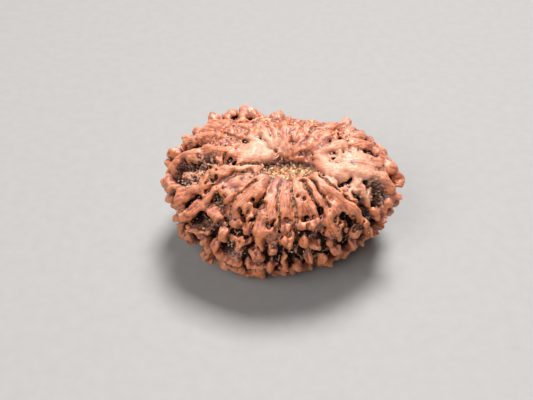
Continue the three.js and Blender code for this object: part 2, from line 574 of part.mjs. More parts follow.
// The form at the corners of a grid of cells, worked out block by block near the floor.
function sampleForm() {
  const counts = HALF_SPACE.map((half) => 2 * Math.ceil(half / CELL) + 1);
  const [nx, ny, nz] = counts;
  const values = new Float32Array(nx * ny * nz);
  const place = (i, k) => (i - (counts[k] - 1) / 2) * CELL;
  const middle = new THREE.Vector3();
  for (let bx = 0; bx < nx; bx += BLOCK) {
    for (let by = 0; by < ny; by += BLOCK) {
      for (let bz = 0; bz < nz; bz += BLOCK) {
        middle.set(place(bx + BLOCK / 2, 0), place(by + BLOCK / 2, 1), place(bz + BLOCK / 2, 2));
        const relief = reliefNear(middle, BLOCK * CELL);
        for (let i = bx; i < Math.min(bx + BLOCK, nx); i += 1) {
          for (let j = by; j < Math.min(by + BLOCK, ny); j += 1) {
            for (let k = bz; k < Math.min(bz + BLOCK, nz); k += 1) {
              const p = [place(i, 0), place(j, 1), place(k, 2)];
              const { above } = floorAt(p);
              const isNear = above > DEEPEST && above < TALLEST;
              values[(i * ny + j) * nz + k] = isNear ? seedField(p, relief) : above;
            }
          }
        }
      }
    }
  }
  return { values, counts, place };
}

// Six tetrahedra that fill a cell, as corners whose bits are steps along X, Y and Z.
const TETRAHEDRA = [
  [0, 1, 3, 7], [0, 3, 2, 7], [0, 2, 6, 7], [0, 6, 4, 7], [0, 4, 5, 7], [0, 5, 1, 7],
];

// Triangles of the surface where the sampled form is zero.
function traceSurface({ values, counts, place }) {
  const [nx, ny, nz] = counts;
  const positions = [];
  const triangles = [];
  const found = new Map();
  const corner = (i, j, k, bits) => (
    ((i + (bits & 1)) * ny + j + ((bits >> 1) & 1)) * nz + k + (bits >> 2)
  );
  const spot = (id) => [
    place(Math.floor(id / (ny * nz)), 0), place(Math.floor(id / nz) % ny, 1), place(id % nz, 2),
  ];
  const crossing = (inside, outside) => {
    const key = Math.min(inside, outside) * values.length + Math.max(inside, outside);
    if (!found.has(key)) {
      const free = values[inside] / (values[inside] - values[outside]);
      const share = clamp(free, OFF_CORNERS, 1 - OFF_CORNERS);
      const from = spot(inside);
      const to = spot(outside);
      found.set(key, positions.length / 3);
      positions.push(...from.map((part, k) => lerp(part, to[k], share)));
    }
    return found.get(key);
  };
  const vertex = (index) => new THREE.Vector3().fromArray(positions, index * 3);
  const addFacing = (a, b, c, inside) => {
    const plane = new THREE.Plane().setFromCoplanarPoints(vertex(a), vertex(b), vertex(c));
    const isOut = plane.distanceToPoint(new THREE.Vector3(...spot(inside))) < 0;
    triangles.push(...(isOut ? [a, b, c] : [a, c, b]));
  };
  for (let i = 0; i + 1 < nx; i += 1) {
    for (let j = 0; j + 1 < ny; j += 1) {
      for (let k = 0; k + 1 < nz; k += 1) {
        const ids = [0, 1, 2, 3, 4, 5, 6, 7].map((bits) => corner(i, j, k, bits));
        const filled = ids.filter((id) => values[id] < 0).length;
        if (filled === 0 || filled === 8) continue;
        for (const bits of TETRAHEDRA) {
          const inside = bits.map((bit) => ids[bit]).filter((id) => values[id] < 0);
          const outside = bits.map((bit) => ids[bit]).filter((id) => values[id] >= 0);
          if (inside.length === 1) {
            const [a, b, c] = outside.map((id) => crossing(inside[0], id));
            addFacing(a, b, c, inside[0]);
          } else if (inside.length === 3) {
            const [a, b, c] = inside.map((id) => crossing(id, outside[0]));
            addFacing(a, b, c, inside[0]);
          } else if (inside.length === 2) {
            const [a, b] = outside.map((id) => crossing(inside[0], id));
            const [c, d] = outside.map((id) => crossing(inside[1], id));
            addFacing(a, b, c, inside[0]);
            addFacing(c, b, d, inside[1]);
          }
        }
      }
    }
  }
  const surface = new THREE.BufferGeometry();
  surface.setAttribute('position', new THREE.Float32BufferAttribute(positions, 3));
  surface.setIndex(triangles);
  return surface;
}

// The largest body of a geometry, without loose scraps and sealed hollows.
function keepLargest(geometry) {
  const triangles = [...geometry.getIndex().array];
  const parent = Array.from({ length: geometry.getAttribute('position').count }, (_, i) => i);
  const root = (i) => {
    let at = i;
    while (parent[at] !== at) {
      parent[at] = parent[parent[at]];
      at = parent[at];
    }
    return at;
  };
  for (let i = 0; i < triangles.length; i += 3) {
    parent[root(triangles[i])] = root(triangles[i + 1]);
    parent[root(triangles[i + 1])] = root(triangles[i + 2]);
  }
  const sizes = new Map();
  for (const index of triangles) sizes.set(root(index), (sizes.get(root(index)) ?? 0) + 1);
  const [largest] = [...sizes].reduce((a, b) => (b[1] > a[1] ? b : a));
  const kept = geometry.clone();
  kept.setIndex(triangles.filter((_, i) => root(triangles[i - (i % 3)]) === largest));
  return kept;
}

// Corners that share a place but not a fan of faces, each drawn a little into its own fan.
function partTouching(geometry) {
  const position = geometry.getAttribute('position');
  const index = geometry.getIndex().array;
  const fans = Array.from({ length: position.count }, () => new Set());
  index.forEach((vertex, i) => {
    const first = i - (i % 3);
    for (let k = 0; k < 3; k += 1) if (first + k !== i) fans[vertex].add(index[first + k]);
  });
  const places = new Map();
  const at = (i) => new THREE.Vector3().fromBufferAttribute(position, i);
  for (let i = 0; i < position.count; i += 1) {
    const key = at(i).toArray().join();
    places.set(key, [...(places.get(key) ?? []), i]);
  }
  for (const corners of places.values()) {
    for (const corner of corners.length > 1 ? corners : []) {
      const middle = new THREE.Vector3();
      for (const other of fans[corner]) middle.addScaledVector(at(other), 1 / fans[corner].size);
      const moved = at(corner).lerp(middle, PARTING);
      position.setXYZ(corner, moved.x, moved.y, moved.z);
    }
  }
  return geometry;
}

// The seed's skin, thinned where the form is plain.
async function makeSkin() {
  const skin = keepLargest(traceSurface(sampleForm()));
  const share = 1 - TRIANGLES * 3 / skin.getIndex().count;
  return new SimplifyModifier().modify(skin, Math.round(skin.getAttribute('position').count * share));
}

// Closed geometries as solids for a cut, and back.
function toSolid(wasm, geometry) {
  return new wasm.Manifold(new wasm.Mesh({
    numProp: 3,
    vertProperties: new Float32Array(geometry.getAttribute('position').array),
    triVerts: new Uint32Array(geometry.getIndex().array),
  }));
}

function toGeometry(solid) {
  const mesh = solid.getMesh();
  const geometry = new THREE.BufferGeometry();
  geometry.setAttribute('position', new THREE.BufferAttribute(mesh.vertProperties, 3));
  geometry.setIndex(new THREE.BufferAttribute(mesh.triVerts, 1));
  geometry.computeVertexNormals();
  return geometry;
}

// Everything below the surface that the seed lies on.
function makeWear() {
  const size = 40;
  const wear = new THREE.BoxGeometry(size, size, size);
  wear.deleteAttribute('normal');
  wear.deleteAttribute('uv');
  return mergeVertices(wear.translate(0, 0, -size / 2));
}

const wasm = await Module();
wasm.setup();

const skin = await makeSkin();
skin.rotateX(radians(TILT));
skin.translate(CENTRE.x, CENTRE.y, CENTRE.z);
const lying = toSolid(wasm, skin).subtract(toSolid(wasm, makeWear()));

const seed = new THREE.Mesh(
  partTouching(keepLargest(toGeometry(lying))),
  new THREE.MeshStandardMaterial({ color: 0xb26a49, roughness: 0.42, metalness: 0 }),
);
seed.name = 'rudraksha_seed';

const group = new THREE.Group();
group.name = 'rudraksha';
group.add(seed);

export default group;
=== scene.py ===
import math

import bpy
import numpy as np
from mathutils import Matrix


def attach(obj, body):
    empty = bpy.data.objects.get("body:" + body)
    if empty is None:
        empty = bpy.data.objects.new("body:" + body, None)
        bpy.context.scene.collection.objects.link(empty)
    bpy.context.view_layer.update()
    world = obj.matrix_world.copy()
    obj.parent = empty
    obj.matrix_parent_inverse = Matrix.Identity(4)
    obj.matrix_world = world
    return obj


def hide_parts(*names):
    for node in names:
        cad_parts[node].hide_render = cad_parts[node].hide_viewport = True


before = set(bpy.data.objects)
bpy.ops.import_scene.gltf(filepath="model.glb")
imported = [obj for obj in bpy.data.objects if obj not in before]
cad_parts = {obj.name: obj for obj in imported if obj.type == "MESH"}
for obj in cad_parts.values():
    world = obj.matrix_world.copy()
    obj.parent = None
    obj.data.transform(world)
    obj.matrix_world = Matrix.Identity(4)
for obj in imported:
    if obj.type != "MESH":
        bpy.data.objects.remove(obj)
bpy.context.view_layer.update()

import openvdb
from mathutils import Vector

# A rudraksha seed. Sizes are in millimetres up to the last step, where they become metres.
# Azimuths run from +X (right) over +Y (back), colatitudes from the pole with the scar, both
# in degrees. The lists and sizes are those of the solid, so the finer skin keeps its form.
MM = 0.001
NODE = "rudraksha_seed"
FAR_AWAY = 99
TINY = 1e-9

# Valley floor of the seed.
HALF_LENGTH = 13.7
HALF_FRONT = 9.7
HALF_BACK = 9.5
HALF_HEIGHT = 8.5
PLAN_POWER_FRONT = 1.8
PLAN_POWER_BACK = 2.15
SIDE_POWER_PLAN = 2.35
SIDE_POWER_HEIGHT = 2.22
SLIMMER_TO_THE_RIGHT = 0.12
POLE_OFFSET = 0.8
WAIST = {"depth": 1.8, "x": 2.8, "width": 5}
DIMPLE = {"depth": 1.5, "length": 4.2, "width": 2.6, "fade": 0.5}
SLOPE_REACH = 0.05

# Scar at the upper pole, and the straw in it. Shares of their size tell where each fades out.
SCAR = {"x": 0.7, "y": -0.4, "half_length": 2.85, "half_width": 1.15, "power": 2.6, "depth": 0.25,
        "steepness": 0.8, "grain": 2, "blend": 0.3, "rim": 1.15, "fade": 0.3}
GOLD = {"x": 0.8, "y": -0.4, "half_length": 2.6, "half_width": 0.85, "middle": 2, "fall": 1.6}

# Shape of the relief.
RIDGE_SCALE = 0.95
WIDTH_SCALE = 0.82
WIDER_NEAR_THE_POLES = 0.5
CREST_POWER = 2.0
RIDGE_SHOULDER = 0.15
END_BLUNTNESS = 1.2
RIDGE_GRAIN = 0.3
RIDGE_MERGE = 0.3
UNDERCUT = {"knob": 0.25, "broad": 0.1, "broad_from": 1.2}
RIDGE_REACH = {"widths": 1.3, "spare": 1.2}
SMALLEST_RISE = 0.5
RIDGE_BLEND = 0.15
PIT_BLEND = 0.45
GAP_BLEND = 0.2
PIT_RIM = 0.35
PIT_GRAIN = 2.0
PIT_REACH = {"widths": 1.3, "spare": 1.5}
SEAM = {"half_width": 0.2, "depth": 0.2, "blend": 0.12, "reach": 1.5, "fade": 1.6}
LEAN = 0.15
PIT_LEAN = 0.45
LEAN_LIMIT = 2
THINNING = {"start": 1.6, "reach": 2.6, "least": 0.5, "stretch": 1.5}
GROUND = {"low": -0.8, "rise": 1.3, "from": 2.6, "over": 5.0}
WARP = {"size": 0.14, "wavelength": 3.2, "waves": 5}
SWELL = {"size": 0.13, "wavelength": 2, "waves": 7, "on_crests": 0.5}
GRAIN = {"size": 0.15, "wavelength": 0.75, "waves": 11, "on_crests": 0.3}
FINE_WARP = {"size": 0.09, "wavelength": 1.4, "waves": 6}
WAVELENGTH_SHARE = {"least": 0.7, "spare": 0.6}

# Where the seed lies: the tilt of its pole towards the front, and its centre.
TILT = math.radians(24)
CENTRE = np.array([0.2, 0.11, 9])
SEED_OF_CHANCE = 20261130
CHANCE = {"factor": 1664525, "step": 1013904223, "size": 4294967296}

# Grid that the form is worked out on.
HALF_SPACE = np.array([17, 12.6, 11.4])
CELL = 0.18
FAR_SIDE = 4
MOST_TRIANGLES = 194000

# What the finish reads. Hollow and shelter are how much of the space round a place is solid,
# within a reach of a point a little off the skin. Streaks have a size in mm round the axis, a
# squeeze from front to back, and a share of that size down the sides. Patches are an azimuth, a
# colatitude and a radius each.
HOLLOW = {"reach": 0.45, "off": 0.1}
SHELTER = {"reach": 1.1, "off": 0.3}
STREAK = {"size": 11, "squeeze": 1.4, "length": 0.22}
SPOT_POWER = 4
# Pale shoulder patches: partly wear, partly a painted highlight.
WEAR_AND_HIGHLIGHT_SPOTS = [(160, 13, 3.0), (356, 20, 2.6), (352, 34, 3.0), (5, 28, 2.5)]
DUSTY_SPOTS = [(230, 9, 1.8), (196, 30, 1.2)]
CRUMB_SPOTS = [
    (181, 40, 2.0), (184, 53, 1.9), (176, 62, 1.6), (349, 55, 2.2), (209, 60, 1.6), (204, 40, 1.0),
    (234, 72, 1.6), (233, 10, 1.0), (257, 17, 0.7), (257, 25, 0.7),
]

# How thickly crumbs lie: shares of hollow from which they lie on crests and on floors, how far
# each takes to fill up, and what a littered spot adds.
CRUMBS = {
    "crest_from": 0.42, "crest_over": 0.12, "floor_from": 0.34, "floor_over": 0.08, "height": 0.2,
    "height_over": 0.4, "litter_height": 0.6, "least": 0.35, "off_seams": 0.8,
}

# Camera: distance from the seed's middle in mm, the angle that it looks down at, width of its
# picture and lens in mm, the nearest that it sees in metres, and how far the picture is moved,
# in pixels of a picture 533 wide.
CAMERA_AWAY = 91.6
CAMERA_HEIGHT = math.radians(45)
PICTURE_WIDTH = 36
LENS = 49.5
NEAREST_SEEN = 0.005
CAMERA_SHIFT = (-15, -8.5)
PHOTO_WIDTH = 533

# Lamps and floor, in metres and watts.
OVERHEAD = {"place": (0.06, 0.14, 0.44), "width": 0.16, "power": 3.7, "colour": (1.0, 0.97, 0.94)}
FRONT_FILL = {"place": (-0.18, -0.26, 0.38), "width": 0.30, "power": 1.6, "colour": (1.0, 0.98, 0.96)}
ROOM = {"colour": (1.0, 0.96, 0.94, 1), "strength": 0.09}
FLOOR_HALF = 0.6

# Ridges and knobs: height, half width at the start and at the end, and the crest's path.
RIDGES = [
    # Shoulders beside the scar.
    (1.1, 1.2, 1.2, [(152, 9), (160, 14), (167, 17)]),
    (1, 1, 1, [(12.5, 12), (353, 18.5), (352.5, 23.5), (358.5, 27), (356.5, 33), (358, 39.5)]),
    (1, 0.8, 0.6, [(8.5, 27.5), (7, 37.5), (5.5, 43), (5, 49)]),
    # Upper left.
    (1.2, 0.6, 0.6, [(156, 39), (157, 48), (159, 57), (163, 66)]),
    (0.9, 2, 2, [(146, 51), (148, 56)]),
    (0.8, 0.45, 0.45, [(167, 41), (167, 47), (168, 54)]),
    (1.2, 0.6, 0.6, [(167.5, 24), (168, 31), (167, 36), (165.5, 40)]),
    (1.3, 0.7, 0.7, [(169, 45), (170.5, 50), (169.5, 57)]),
    (0.8, 0.5, 0.5, [(142, 36.5), (137, 36.5), (133, 33)]),
    (1, 0.6, 0.6, [(150, 70), (151, 75)]),
    (1.1, 0.7, 0.7, [(149, 83), (150, 92)]),
    (1.5, 0.7, 0.7, [(157, 72), (157, 79)]),
    (1, 0.7, 0.7, [(157, 87), (158, 95)]),
    (1.8, 0.8, 0.8, [(164, 76), (164, 83)]),
    (1.7, 0.8, 0.8, [(142, 64), (141, 70)]),
    (1.1, 0.6, 0.6, [(136, 72), (135, 90)]),
    (1.3, 0.8, 0.8, [(131, 62), (130, 72)]),
    # Back rim and the thin radial ridges on top.
    (1.5, 0.9, 0.9, [(124, 50), (121.5, 61)]),
    (0.9, 0.6, 0.6, [(120, 68), (119, 84)]),
    (0.8, 0.6, 0.6, [(117, 46), (115, 58), (113, 66)]),
    (1.1, 0.9, 0.9, [(98, 47), (97, 58)]),
    (0.6, 0.6, 0.6, [(106, 76), (105, 90)]),
    (0.7, 0.7, 0.7, [(96, 66), (95, 84)]),
    (0.5, 0.8, 0.8, [(88, 38), (87, 52)]),
    (0.6, 0.6, 0.6, [(86, 64), (86, 82)]),
    (0.4, 0.7, 0.7, [(71, 36), (71, 52)]),
    (0.6, 0.6, 0.6, [(76, 72), (75, 88)]),
    (0.6, 0.6, 0.6, [(67, 62), (66, 80)]),
    (0.5, 0.7, 0.7, [(59, 38), (58, 52)]),
    (0.7, 0.6, 0.6, [(56, 64), (55, 82)]),
    (0.9, 0.5, 0.5, [(127, 11), (126, 20), (124, 32)]),
    (0.9, 0.45, 0.45, [(112, 8), (111, 18), (110, 30)]),
    (0.9, 0.8, 0.8, [(94, 7), (95, 18), (96, 32)]),
    (0.8, 0.5, 0.5, [(80, 7), (79, 12)]),
    (0.8, 0.5, 0.5, [(76, 18), (78, 30)]),
    (0.9, 0.4, 0.4, [(64, 9), (64, 20), (66, 30)]),
    (0.9, 0.4, 0.4, [(51, 10), (51, 20), (52, 30)]),
    (0.8, 0.5, 0.5, [(142, 14), (141, 24)]),
    (0.8, 0.5, 0.5, [(135, 27), (128, 30)]),
    # Back right.
    (0.8, 0.5, 0.5, [(42, 12), (43, 22), (42, 32)]),
    (0.8, 0.6, 0.6, [(28, 13), (26, 22), (26, 31)]),
    (0.9, 0.6, 0.6, [(50, 40), (48, 50), (45, 58)]),
    (1.8, 0.7, 0.7, [(44, 58), (44, 64)]),
    (0.8, 0.7, 0.7, [(46, 70), (45, 86)]),
    (0.9, 0.6, 0.6, [(38, 44), (38, 60)]),
    (0.8, 0.6, 0.6, [(37, 68), (36, 84)]),
    (0.9, 0.8, 0.8, [(31, 44), (32, 61)]),
    (0.9, 0.6, 0.6, [(26, 38), (22, 42), (20, 50)]),
    (1.1, 0.6, 0.6, [(15, 51), (17, 58)]),
    (0.9, 0.7, 0.7, [(26, 60), (27, 66)]),
    (0.9, 0.7, 0.7, [(29, 74), (28, 88)]),
    (0.8, 0.6, 0.6, [(20, 62), (20, 68)]),
    (0.9, 0.7, 0.7, [(20, 76), (19, 88)]),
    (0.9, 0.8, 0.8, [(11, 54), (12, 66)]),
    (1.1, 0.7, 0.7, [(11, 75), (10, 86)]),
    (1.1, 0.8, 0.8, [(6, 54), (7, 62)]),
    # Left.
    (1.3, 0.65, 0.65, [(169.5, 59), (173, 66), (175.5, 74), (179, 74), (184, 68.5), (185.5, 64)]),
    (0.7, 0.4, 0.4, [(181, 51), (180, 57)]),
    (1.1, 0.6, 0.6, [(190.5, 46.5), (190, 52.5)]),
    (1.3, 1.1, 1.1, [(190.5, 57.5), (191.5, 67)]),
    (1.7, 0.7, 0.7, [(168, 84), (168, 91)]),
    (1.7, 0.7, 0.7, [(177, 85), (177, 93)]),
    (1.2, 0.7, 0.7, [(186, 75), (186, 82)]),
    (1.1, 0.6, 0.6, [(195, 69), (194.5, 73)]),
    (1.1, 0.6, 0.6, [(195.5, 78), (195.5, 85)]),
    (1.1, 0.85, 0.85, [(183, 9), (188, 14), (186, 20), (186, 26), (187.5, 30), (186.5, 35),
     (188, 38.5), (190.5, 41), (192.5, 43.5)]),
    (0.9, 0.9, 0.9, [(194.5, 24), (196.5, 32)]),
    (0.7, 0.6, 0.6, [(205, 17), (203, 23)]),
    (1.3, 0.55, 0.45, [(208.5, 35), (206, 32.5), (201.5, 33.5), (197.8, 36.5), (198, 40), (199.5, 44),
     (201.5, 47), (200.5, 53), (200, 58), (198.5, 63)]),
    (1.4, 0.85, 0.85, [(198, 67), (199, 71.5)]),
    (0.9, 0.5, 0.5, [(203, 49), (207, 47), (211, 49.5)]),
    (1.3, 1, 1, [(212, 13), (217, 18), (220, 23), (219.5, 29), (221.5, 35)]),
    (1.2, 0.8, 0.8, [(220, 21), (225, 21.5)]),
    (1, 0.65, 0.65, [(236, 10), (243, 15), (247, 18)]),
    # Lower left.
    (0.9, 0.5, 0.5, [(197, 94), (197, 101)]),
    (0.6, 0.4, 0.4, [(203, 84), (204, 90)]),
    (1.1, 0.6, 0.6, [(209, 49.5), (213.5, 50)]),
    (1, 0.45, 0.45, [(204, 74), (209, 72), (215, 65)]),
    (0.9, 0.45, 0.45, [(212.5, 72), (212.5, 76)]),
    (1, 0.5, 0.5, [(216.5, 75), (216.5, 79)]),
    (1, 0.6, 0.6, [(219, 82), (219, 87)]),
    (1.2, 0.7, 0.7, [(224, 57.5), (223.5, 60.5)]),
    (1, 0.55, 0.55, [(223, 40.5), (223.5, 47)]),
    (0.9, 0.35, 0.35, [(229, 36.5), (236, 39)]),
    (1.2, 0.9, 0.3, [(234, 41), (235.5, 46), (236.5, 50)]),
    (1.2, 0.7, 0.7, [(237, 56), (237.5, 59)]),
    (1.1, 0.6, 0.6, [(237, 65), (237, 67.5)]),
    (0.9, 0.4, 0.4, [(232, 57), (232, 60)]),
    (1.4, 1, 0.45, [(247, 43), (248.5, 50), (250.5, 58)]),
    (1.2, 0.65, 0.8, [(247, 64), (250, 68.5), (252, 72)]),
    (1.1, 0.5, 0.5, [(223.5, 69), (223, 78), (226, 83), (230.5, 86), (236.5, 83.5), (240.5, 82)]),
    (1.2, 0.7, 0.7, [(242, 99), (242, 105)]),
    (0.9, 0.5, 0.5, [(246, 84), (251, 87), (257, 85)]),
    (1.2, 1.3, 1.3, [(245, 24), (246, 30), (250, 35)]),
    (0.9, 0.55, 0.55, [(257, 23), (256, 26)]),
    (0.7, 0.35, 0.35, [(261, 33), (261, 35)]),
    (0.9, 0.5, 0.5, [(262, 13), (262, 18)]),
    (1, 0.65, 0.65, [(269, 18), (268, 27), (269, 33.5)]),
    (1.1, 0.9, 0.7, [(267.5, 39), (269, 42)]),
    (1.3, 0.9, 0.4, [(270, 49.5), (271, 55)]),
    (1.1, 0.5, 0.5, [(260, 57.5), (260, 62)]),
    (0.8, 0.45, 0.45, [(257, 44), (258, 51)]),
    (1, 0.4, 0.4, [(270, 68), (271, 78), (270, 90)]),
    (1, 0.6, 0.6, [(262, 82), (262, 90)]),
    (1, 0.7, 0.7, [(254, 92), (253, 99)]),
    (1.1, 0.6, 0.6, [(279, 84), (280, 92)]),
    # Lower right.
    (1.1, 0.9, 0.9, [(285, 8), (293, 15), (296, 21), (297, 27), (297, 32)]),
    (1, 0.55, 0.55, [(283, 14), (283, 22), (282, 31)]),
    (1.3, 0.7, 0.7, [(284.5, 39), (285, 42)]),
    (1.3, 0.75, 0.75, [(293.5, 39.5), (293, 42)]),
    (1.2, 0.65, 0.65, [(284.5, 54.5), (284.5, 56.5)]),
    (1, 0.45, 0.45, [(290, 60), (294, 63)]),
    (0.9, 0.5, 0.5, [(303.5, 55), (303.5, 57)]),
    (1.2, 0.9, 0.9, [(305, 10), (309, 18), (310, 25), (309.5, 31), (309, 37)]),
    (1.4, 0.8, 0.8, [(306.5, 40.5), (305.5, 42.5)]),
    (1.2, 0.9, 0.9, [(331, 12), (330, 18), (330, 24), (328, 30), (326, 35), (327, 39)]),
    (1.2, 0.65, 0.65, [(315, 36), (318, 41), (321, 45), (324, 50)]),
    (1.3, 0.75, 0.4, [(329, 40), (327, 46), (326, 52), (326, 58), (328, 66), (329, 75), (329, 83)]),
    (1, 0.4, 0.4, [(312, 51), (316, 50), (318, 54), (316, 58)]),
    (1.3, 0.75, 0.75, [(309.5, 47), (309.5, 53)]),
    (0.9, 0.35, 0.35, [(309, 57), (308.5, 66)]),
    (1, 0.4, 0.4, [(338, 59), (336.5, 70)]),
    (0.8, 0.3, 0.3, [(340.5, 35), (340, 37)]),
    (1.3, 0.65, 0.85, [(356.5, 43), (356.5, 50), (354.5, 57.5), (352.5, 63.5), (348.5, 67), (344, 68)]),
    (0.7, 0.35, 0.4, [(349.5, 33), (346.5, 37), (341, 44), (338.5, 53)]),
    (1.6, 0.75, 0.6, [(4, 55), (3, 61), (0.5, 67), (357, 69)]),
    (2.2, 0.6, 0.6, [(350.5, 66.5), (350.5, 67.5)]),
    (1.2, 0.7, 0.7, [(345, 76), (345, 79)]),
    (1.3, 0.7, 0.7, [(352, 78), (351.5, 83)]),
    (1, 0.45, 0.45, [(340.5, 69), (340, 72)]),
    (1.1, 0.6, 0.6, [(347, 86), (347, 92)]),
    (1.3, 0.6, 0.6, [(335, 94), (335, 98)]),
    (1.3, 0.7, 0.7, [(328, 102), (328, 106)]),
    (1, 0.5, 0.5, [(302, 63), (302, 66)]),
    (1.1, 0.65, 0.65, [(305, 78), (309, 79)]),
    (1, 1.2, 1.2, [(320, 72), (326, 69)]),
    (1.1, 0.6, 0.6, [(319, 88), (319, 94)]),
    (1, 0.45, 0.45, [(288, 75), (287, 82)]),
    (1.1, 0.5, 0.5, [(297, 84), (297, 90)]),
]

# Pits: depth below the floor, half width and path.
PITS = [
    (0.5, 0.5, [(134, 42), (139, 39.5)]),
    (0.4, 0.35, [(124, 46.5), (122, 45)]),
    (0.2, 0.3, [(151, 23.5), (146.5, 21.5)]),
    (0.2, 0.4, [(150.5, 48), (152.5, 43)]),
    (0.7, 0.5, [(196.5, 21), (197.5, 17.5), (196.5, 14)]),
    (1.7, 1.4, [(203.5, 57), (208, 66)]),
    (1.5, 1.2, [(228, 69), (239, 73)]),
    (0.5, 0.6, [(175, 52), (177.5, 44), (180.5, 38)]),
    (0.5, 0.45, [(172.5, 74), (175.5, 64)]),
    (0.6, 0.4, [(183.5, 63), (181, 58.5)]),
    (0.4, 0.35, [(251, 29), (251, 31)]),
    (0.5, 0.4, [(249, 20), (251, 22)]),
    (0.4, 0.2, [(276, 23), (276, 27)]),
    (0.4, 0.3, [(288.5, 27), (288.5, 29)]),
    (0.6, 0.4, [(302, 35.5), (302, 37.5)]),
    (0.7, 0.5, [(338, 16), (341, 22), (340, 27)]),
    (0.8, 0.5, [(345, 28.5), (344, 30.5)]),
    (0.6, 0.5, [(350, 12), (346, 16)]),
    (0.7, 0.45, [(316, 29), (320.5, 34), (322.5, 39)]),
    (0.8, 0.45, [(335.5, 40.5), (335, 50), (335, 64)]),
    (1.4, 1.2, [(350, 51), (348, 59)]),
    (0.5, 0.35, [(351.5, 40), (348, 43)]),
    (0.6, 0.4, [(348, 40), (348, 42)]),
    (0.8, 0.5, [(4, 54), (0.5, 50.5)]),
    (0.6, 0.4, [(359.5, 57), (358.5, 64)]),
    (0.6, 0.5, [(18, 45.5), (18, 47)]),
    (0.5, 0.35, [(13.5, 47), (14, 50)]),
    (0.7, 0.5, [(313, 66), (313, 70)]),
    (0.5, 0.35, [(314.5, 56), (314.5, 57)]),
    (0.35, 0.3, [(116, 19.5), (118, 16.5)]),
    (0.15, 0.25, [(103, 14), (103, 20)]),
    (0.35, 0.28, [(80, 14), (80, 15)]),
    (0.2, 0.3, [(70, 14), (70, 15)]),
    (0.1, 0.25, [(131, 20.5), (129, 21.5)]),
    (0.1, 0.25, [(130, 14.5), (130, 15.5)]),
    (0.2, 0.3, [(133, 29), (131, 30)]),
    (0.1, 0.28, [(23, 34.5), (23, 35.5)]),
    (0.1, 0.25, [(22, 26), (22, 27)]),
    (0.1, 0.25, [(15, 28), (14, 28)]),
    (0.1, 0.25, [(34, 33), (33, 33)]),
    (0.1, 0.25, [(38, 25), (38, 24)]),
    (0.1, 0.25, [(32.5, 20.5), (32.5, 21)]),
    (0.1, 0.28, [(32, 14), (32, 15)]),
    (0.1, 0.28, [(20, 15), (20, 16)]),
    (0.4, 0.3, [(45, 42), (45, 44)]),
]

# Gaps cut between and into the ridges: depth below the floor, half width and path.
GAPS = [
    (0.3, 0.38, [(165, 65), (164, 56), (163, 46)]),
    (0.3, 0.33, [(174.5, 43), (175, 36)]),
    (0.2, 0.33, [(175, 28), (176.5, 23)]),
    (0.3, 0.35, [(189, 38.5), (189, 33)]),
    (0.7, 0.2, [(289, 38.5), (289, 43)]),
    (0.1, 0.3, [(10, 18.5), (10, 19.5)]),
    (0.2, 0.22, [(265, 36.3), (271.5, 36.3)]),
    (0.3, 0.3, [(265.5, 46), (273, 46)]),
    (0.4, 0.3, [(231, 53), (240, 53)]),
    (0.4, 0.3, [(234, 62), (240, 62)]),
    (0.5, 0.3, [(246, 61.3), (254, 61.3)]),
    (0.5, 0.3, [(223.5, 38), (228, 37.5)]),
    (0.5, 0.35, [(228, 41), (236, 41)]),
    (0.6, 0.35, [(249, 38.5), (257, 39)]),
    (0.6, 0.35, [(286, 36), (292, 36)]),
    (0.6, 0.4, [(282, 49), (292, 49.5)]),
    (1.1, 0.75, [(316.5, 47), (320, 53), (323, 62), (327, 73)]),
    (0.7, 0.6, [(231, 26), (235, 27)]),
    (0.9, 0.8, [(203.5, 38), (203.5, 39)]),
    (0.3, 0.25, [(290, 21), (290.5, 22.5)]),
    (0.7, 0.5, [(305, 32), (304, 34)]),
]

# Seams between the faces, as paths.
SEAMS = [
    [(230, 13), (234, 20), (236.5, 28), (238, 36), (239, 46)],
    [(211, 18), (211, 24), (213, 31), (216, 40), (218.5, 48)],
    [(257, 12), (257, 20), (259, 28), (260, 36), (261, 45)],
    [(280, 8), (280, 20), (279, 32), (278, 46), (277, 60)],
    [(302, 12), (303, 20), (303, 28), (300, 40)],
    [(318, 12), (318, 20), (315, 28), (313, 36)],
    [(338, 14), (333, 30), (331, 41), (332, 52), (334, 62)],
    [(193, 16), (191, 24), (193, 33), (195, 43)],
    [(181, 12), (182, 20), (179, 30), (176, 40)],
    [(150, 20), (152, 30), (152, 42)],
]

# Relief of the sides that can't be seen: rows of knobs from the edge of what can, short
# bridges between them, and pits beside them.
HIDDEN = {
    "edge": 91.5, "edge_swing": 13.5, "first_row": 62, "last_row": 166, "row_step": 9.5,
    "spacing": 2.2, "mean_radius": 11.5, "height": (1.0, 1.45), "half_width": (0.5, 0.9),
    "length": (4, 15), "sideways_swing": 0.7, "downward_swing": 0.5, "sway": 0.5,
}
BRIDGES = {"share": 0.3, "height": 0.8, "width": 0.7, "fall": 0.3}
HIDDEN_PITS = {"share": 0.18, "depth": 0.8, "length": 3, "half_width": (0.5, 0.9), "middle": 0.5}


def make_draw(start):
    """Repeatable draws between 0 and 1."""
    state = start

    def draw():
        nonlocal state
        state = (state * CHANCE["factor"] + CHANCE["step"]) % CHANCE["size"]
        return state / CHANCE["size"]
    return draw


def make_waves(kind, draw):
    """Plane waves in random directions, whose sum is about 1 in size."""
    waves = []
    for _ in range(kind["waves"]):
        up = 2 * draw() - 1
        turn = 2 * math.pi * draw()
        flat = math.sqrt(1 - up * up)
        share = WAVELENGTH_SHARE["least"] + WAVELENGTH_SHARE["spare"] * draw()
        number = 2 * math.pi / (kind["wavelength"] * share)
        phase = 2 * math.pi * draw()
        waves.append((number * flat * math.cos(turn), number * flat * math.sin(turn), number * up, phase))
    return waves


def add_waves(waves, x, y, z):
    total = sum(np.sin(x * a + y * b + z * c + phase) for a, b, c, phase in waves)
    return total * math.sqrt(2 / len(waves))


def blend(a, b, reach):
    """Smooth minimum of two distances."""
    overlap = np.maximum(reach - np.abs(a - b), 0)
    return np.minimum(a, b) - overlap * overlap / (4 * reach)


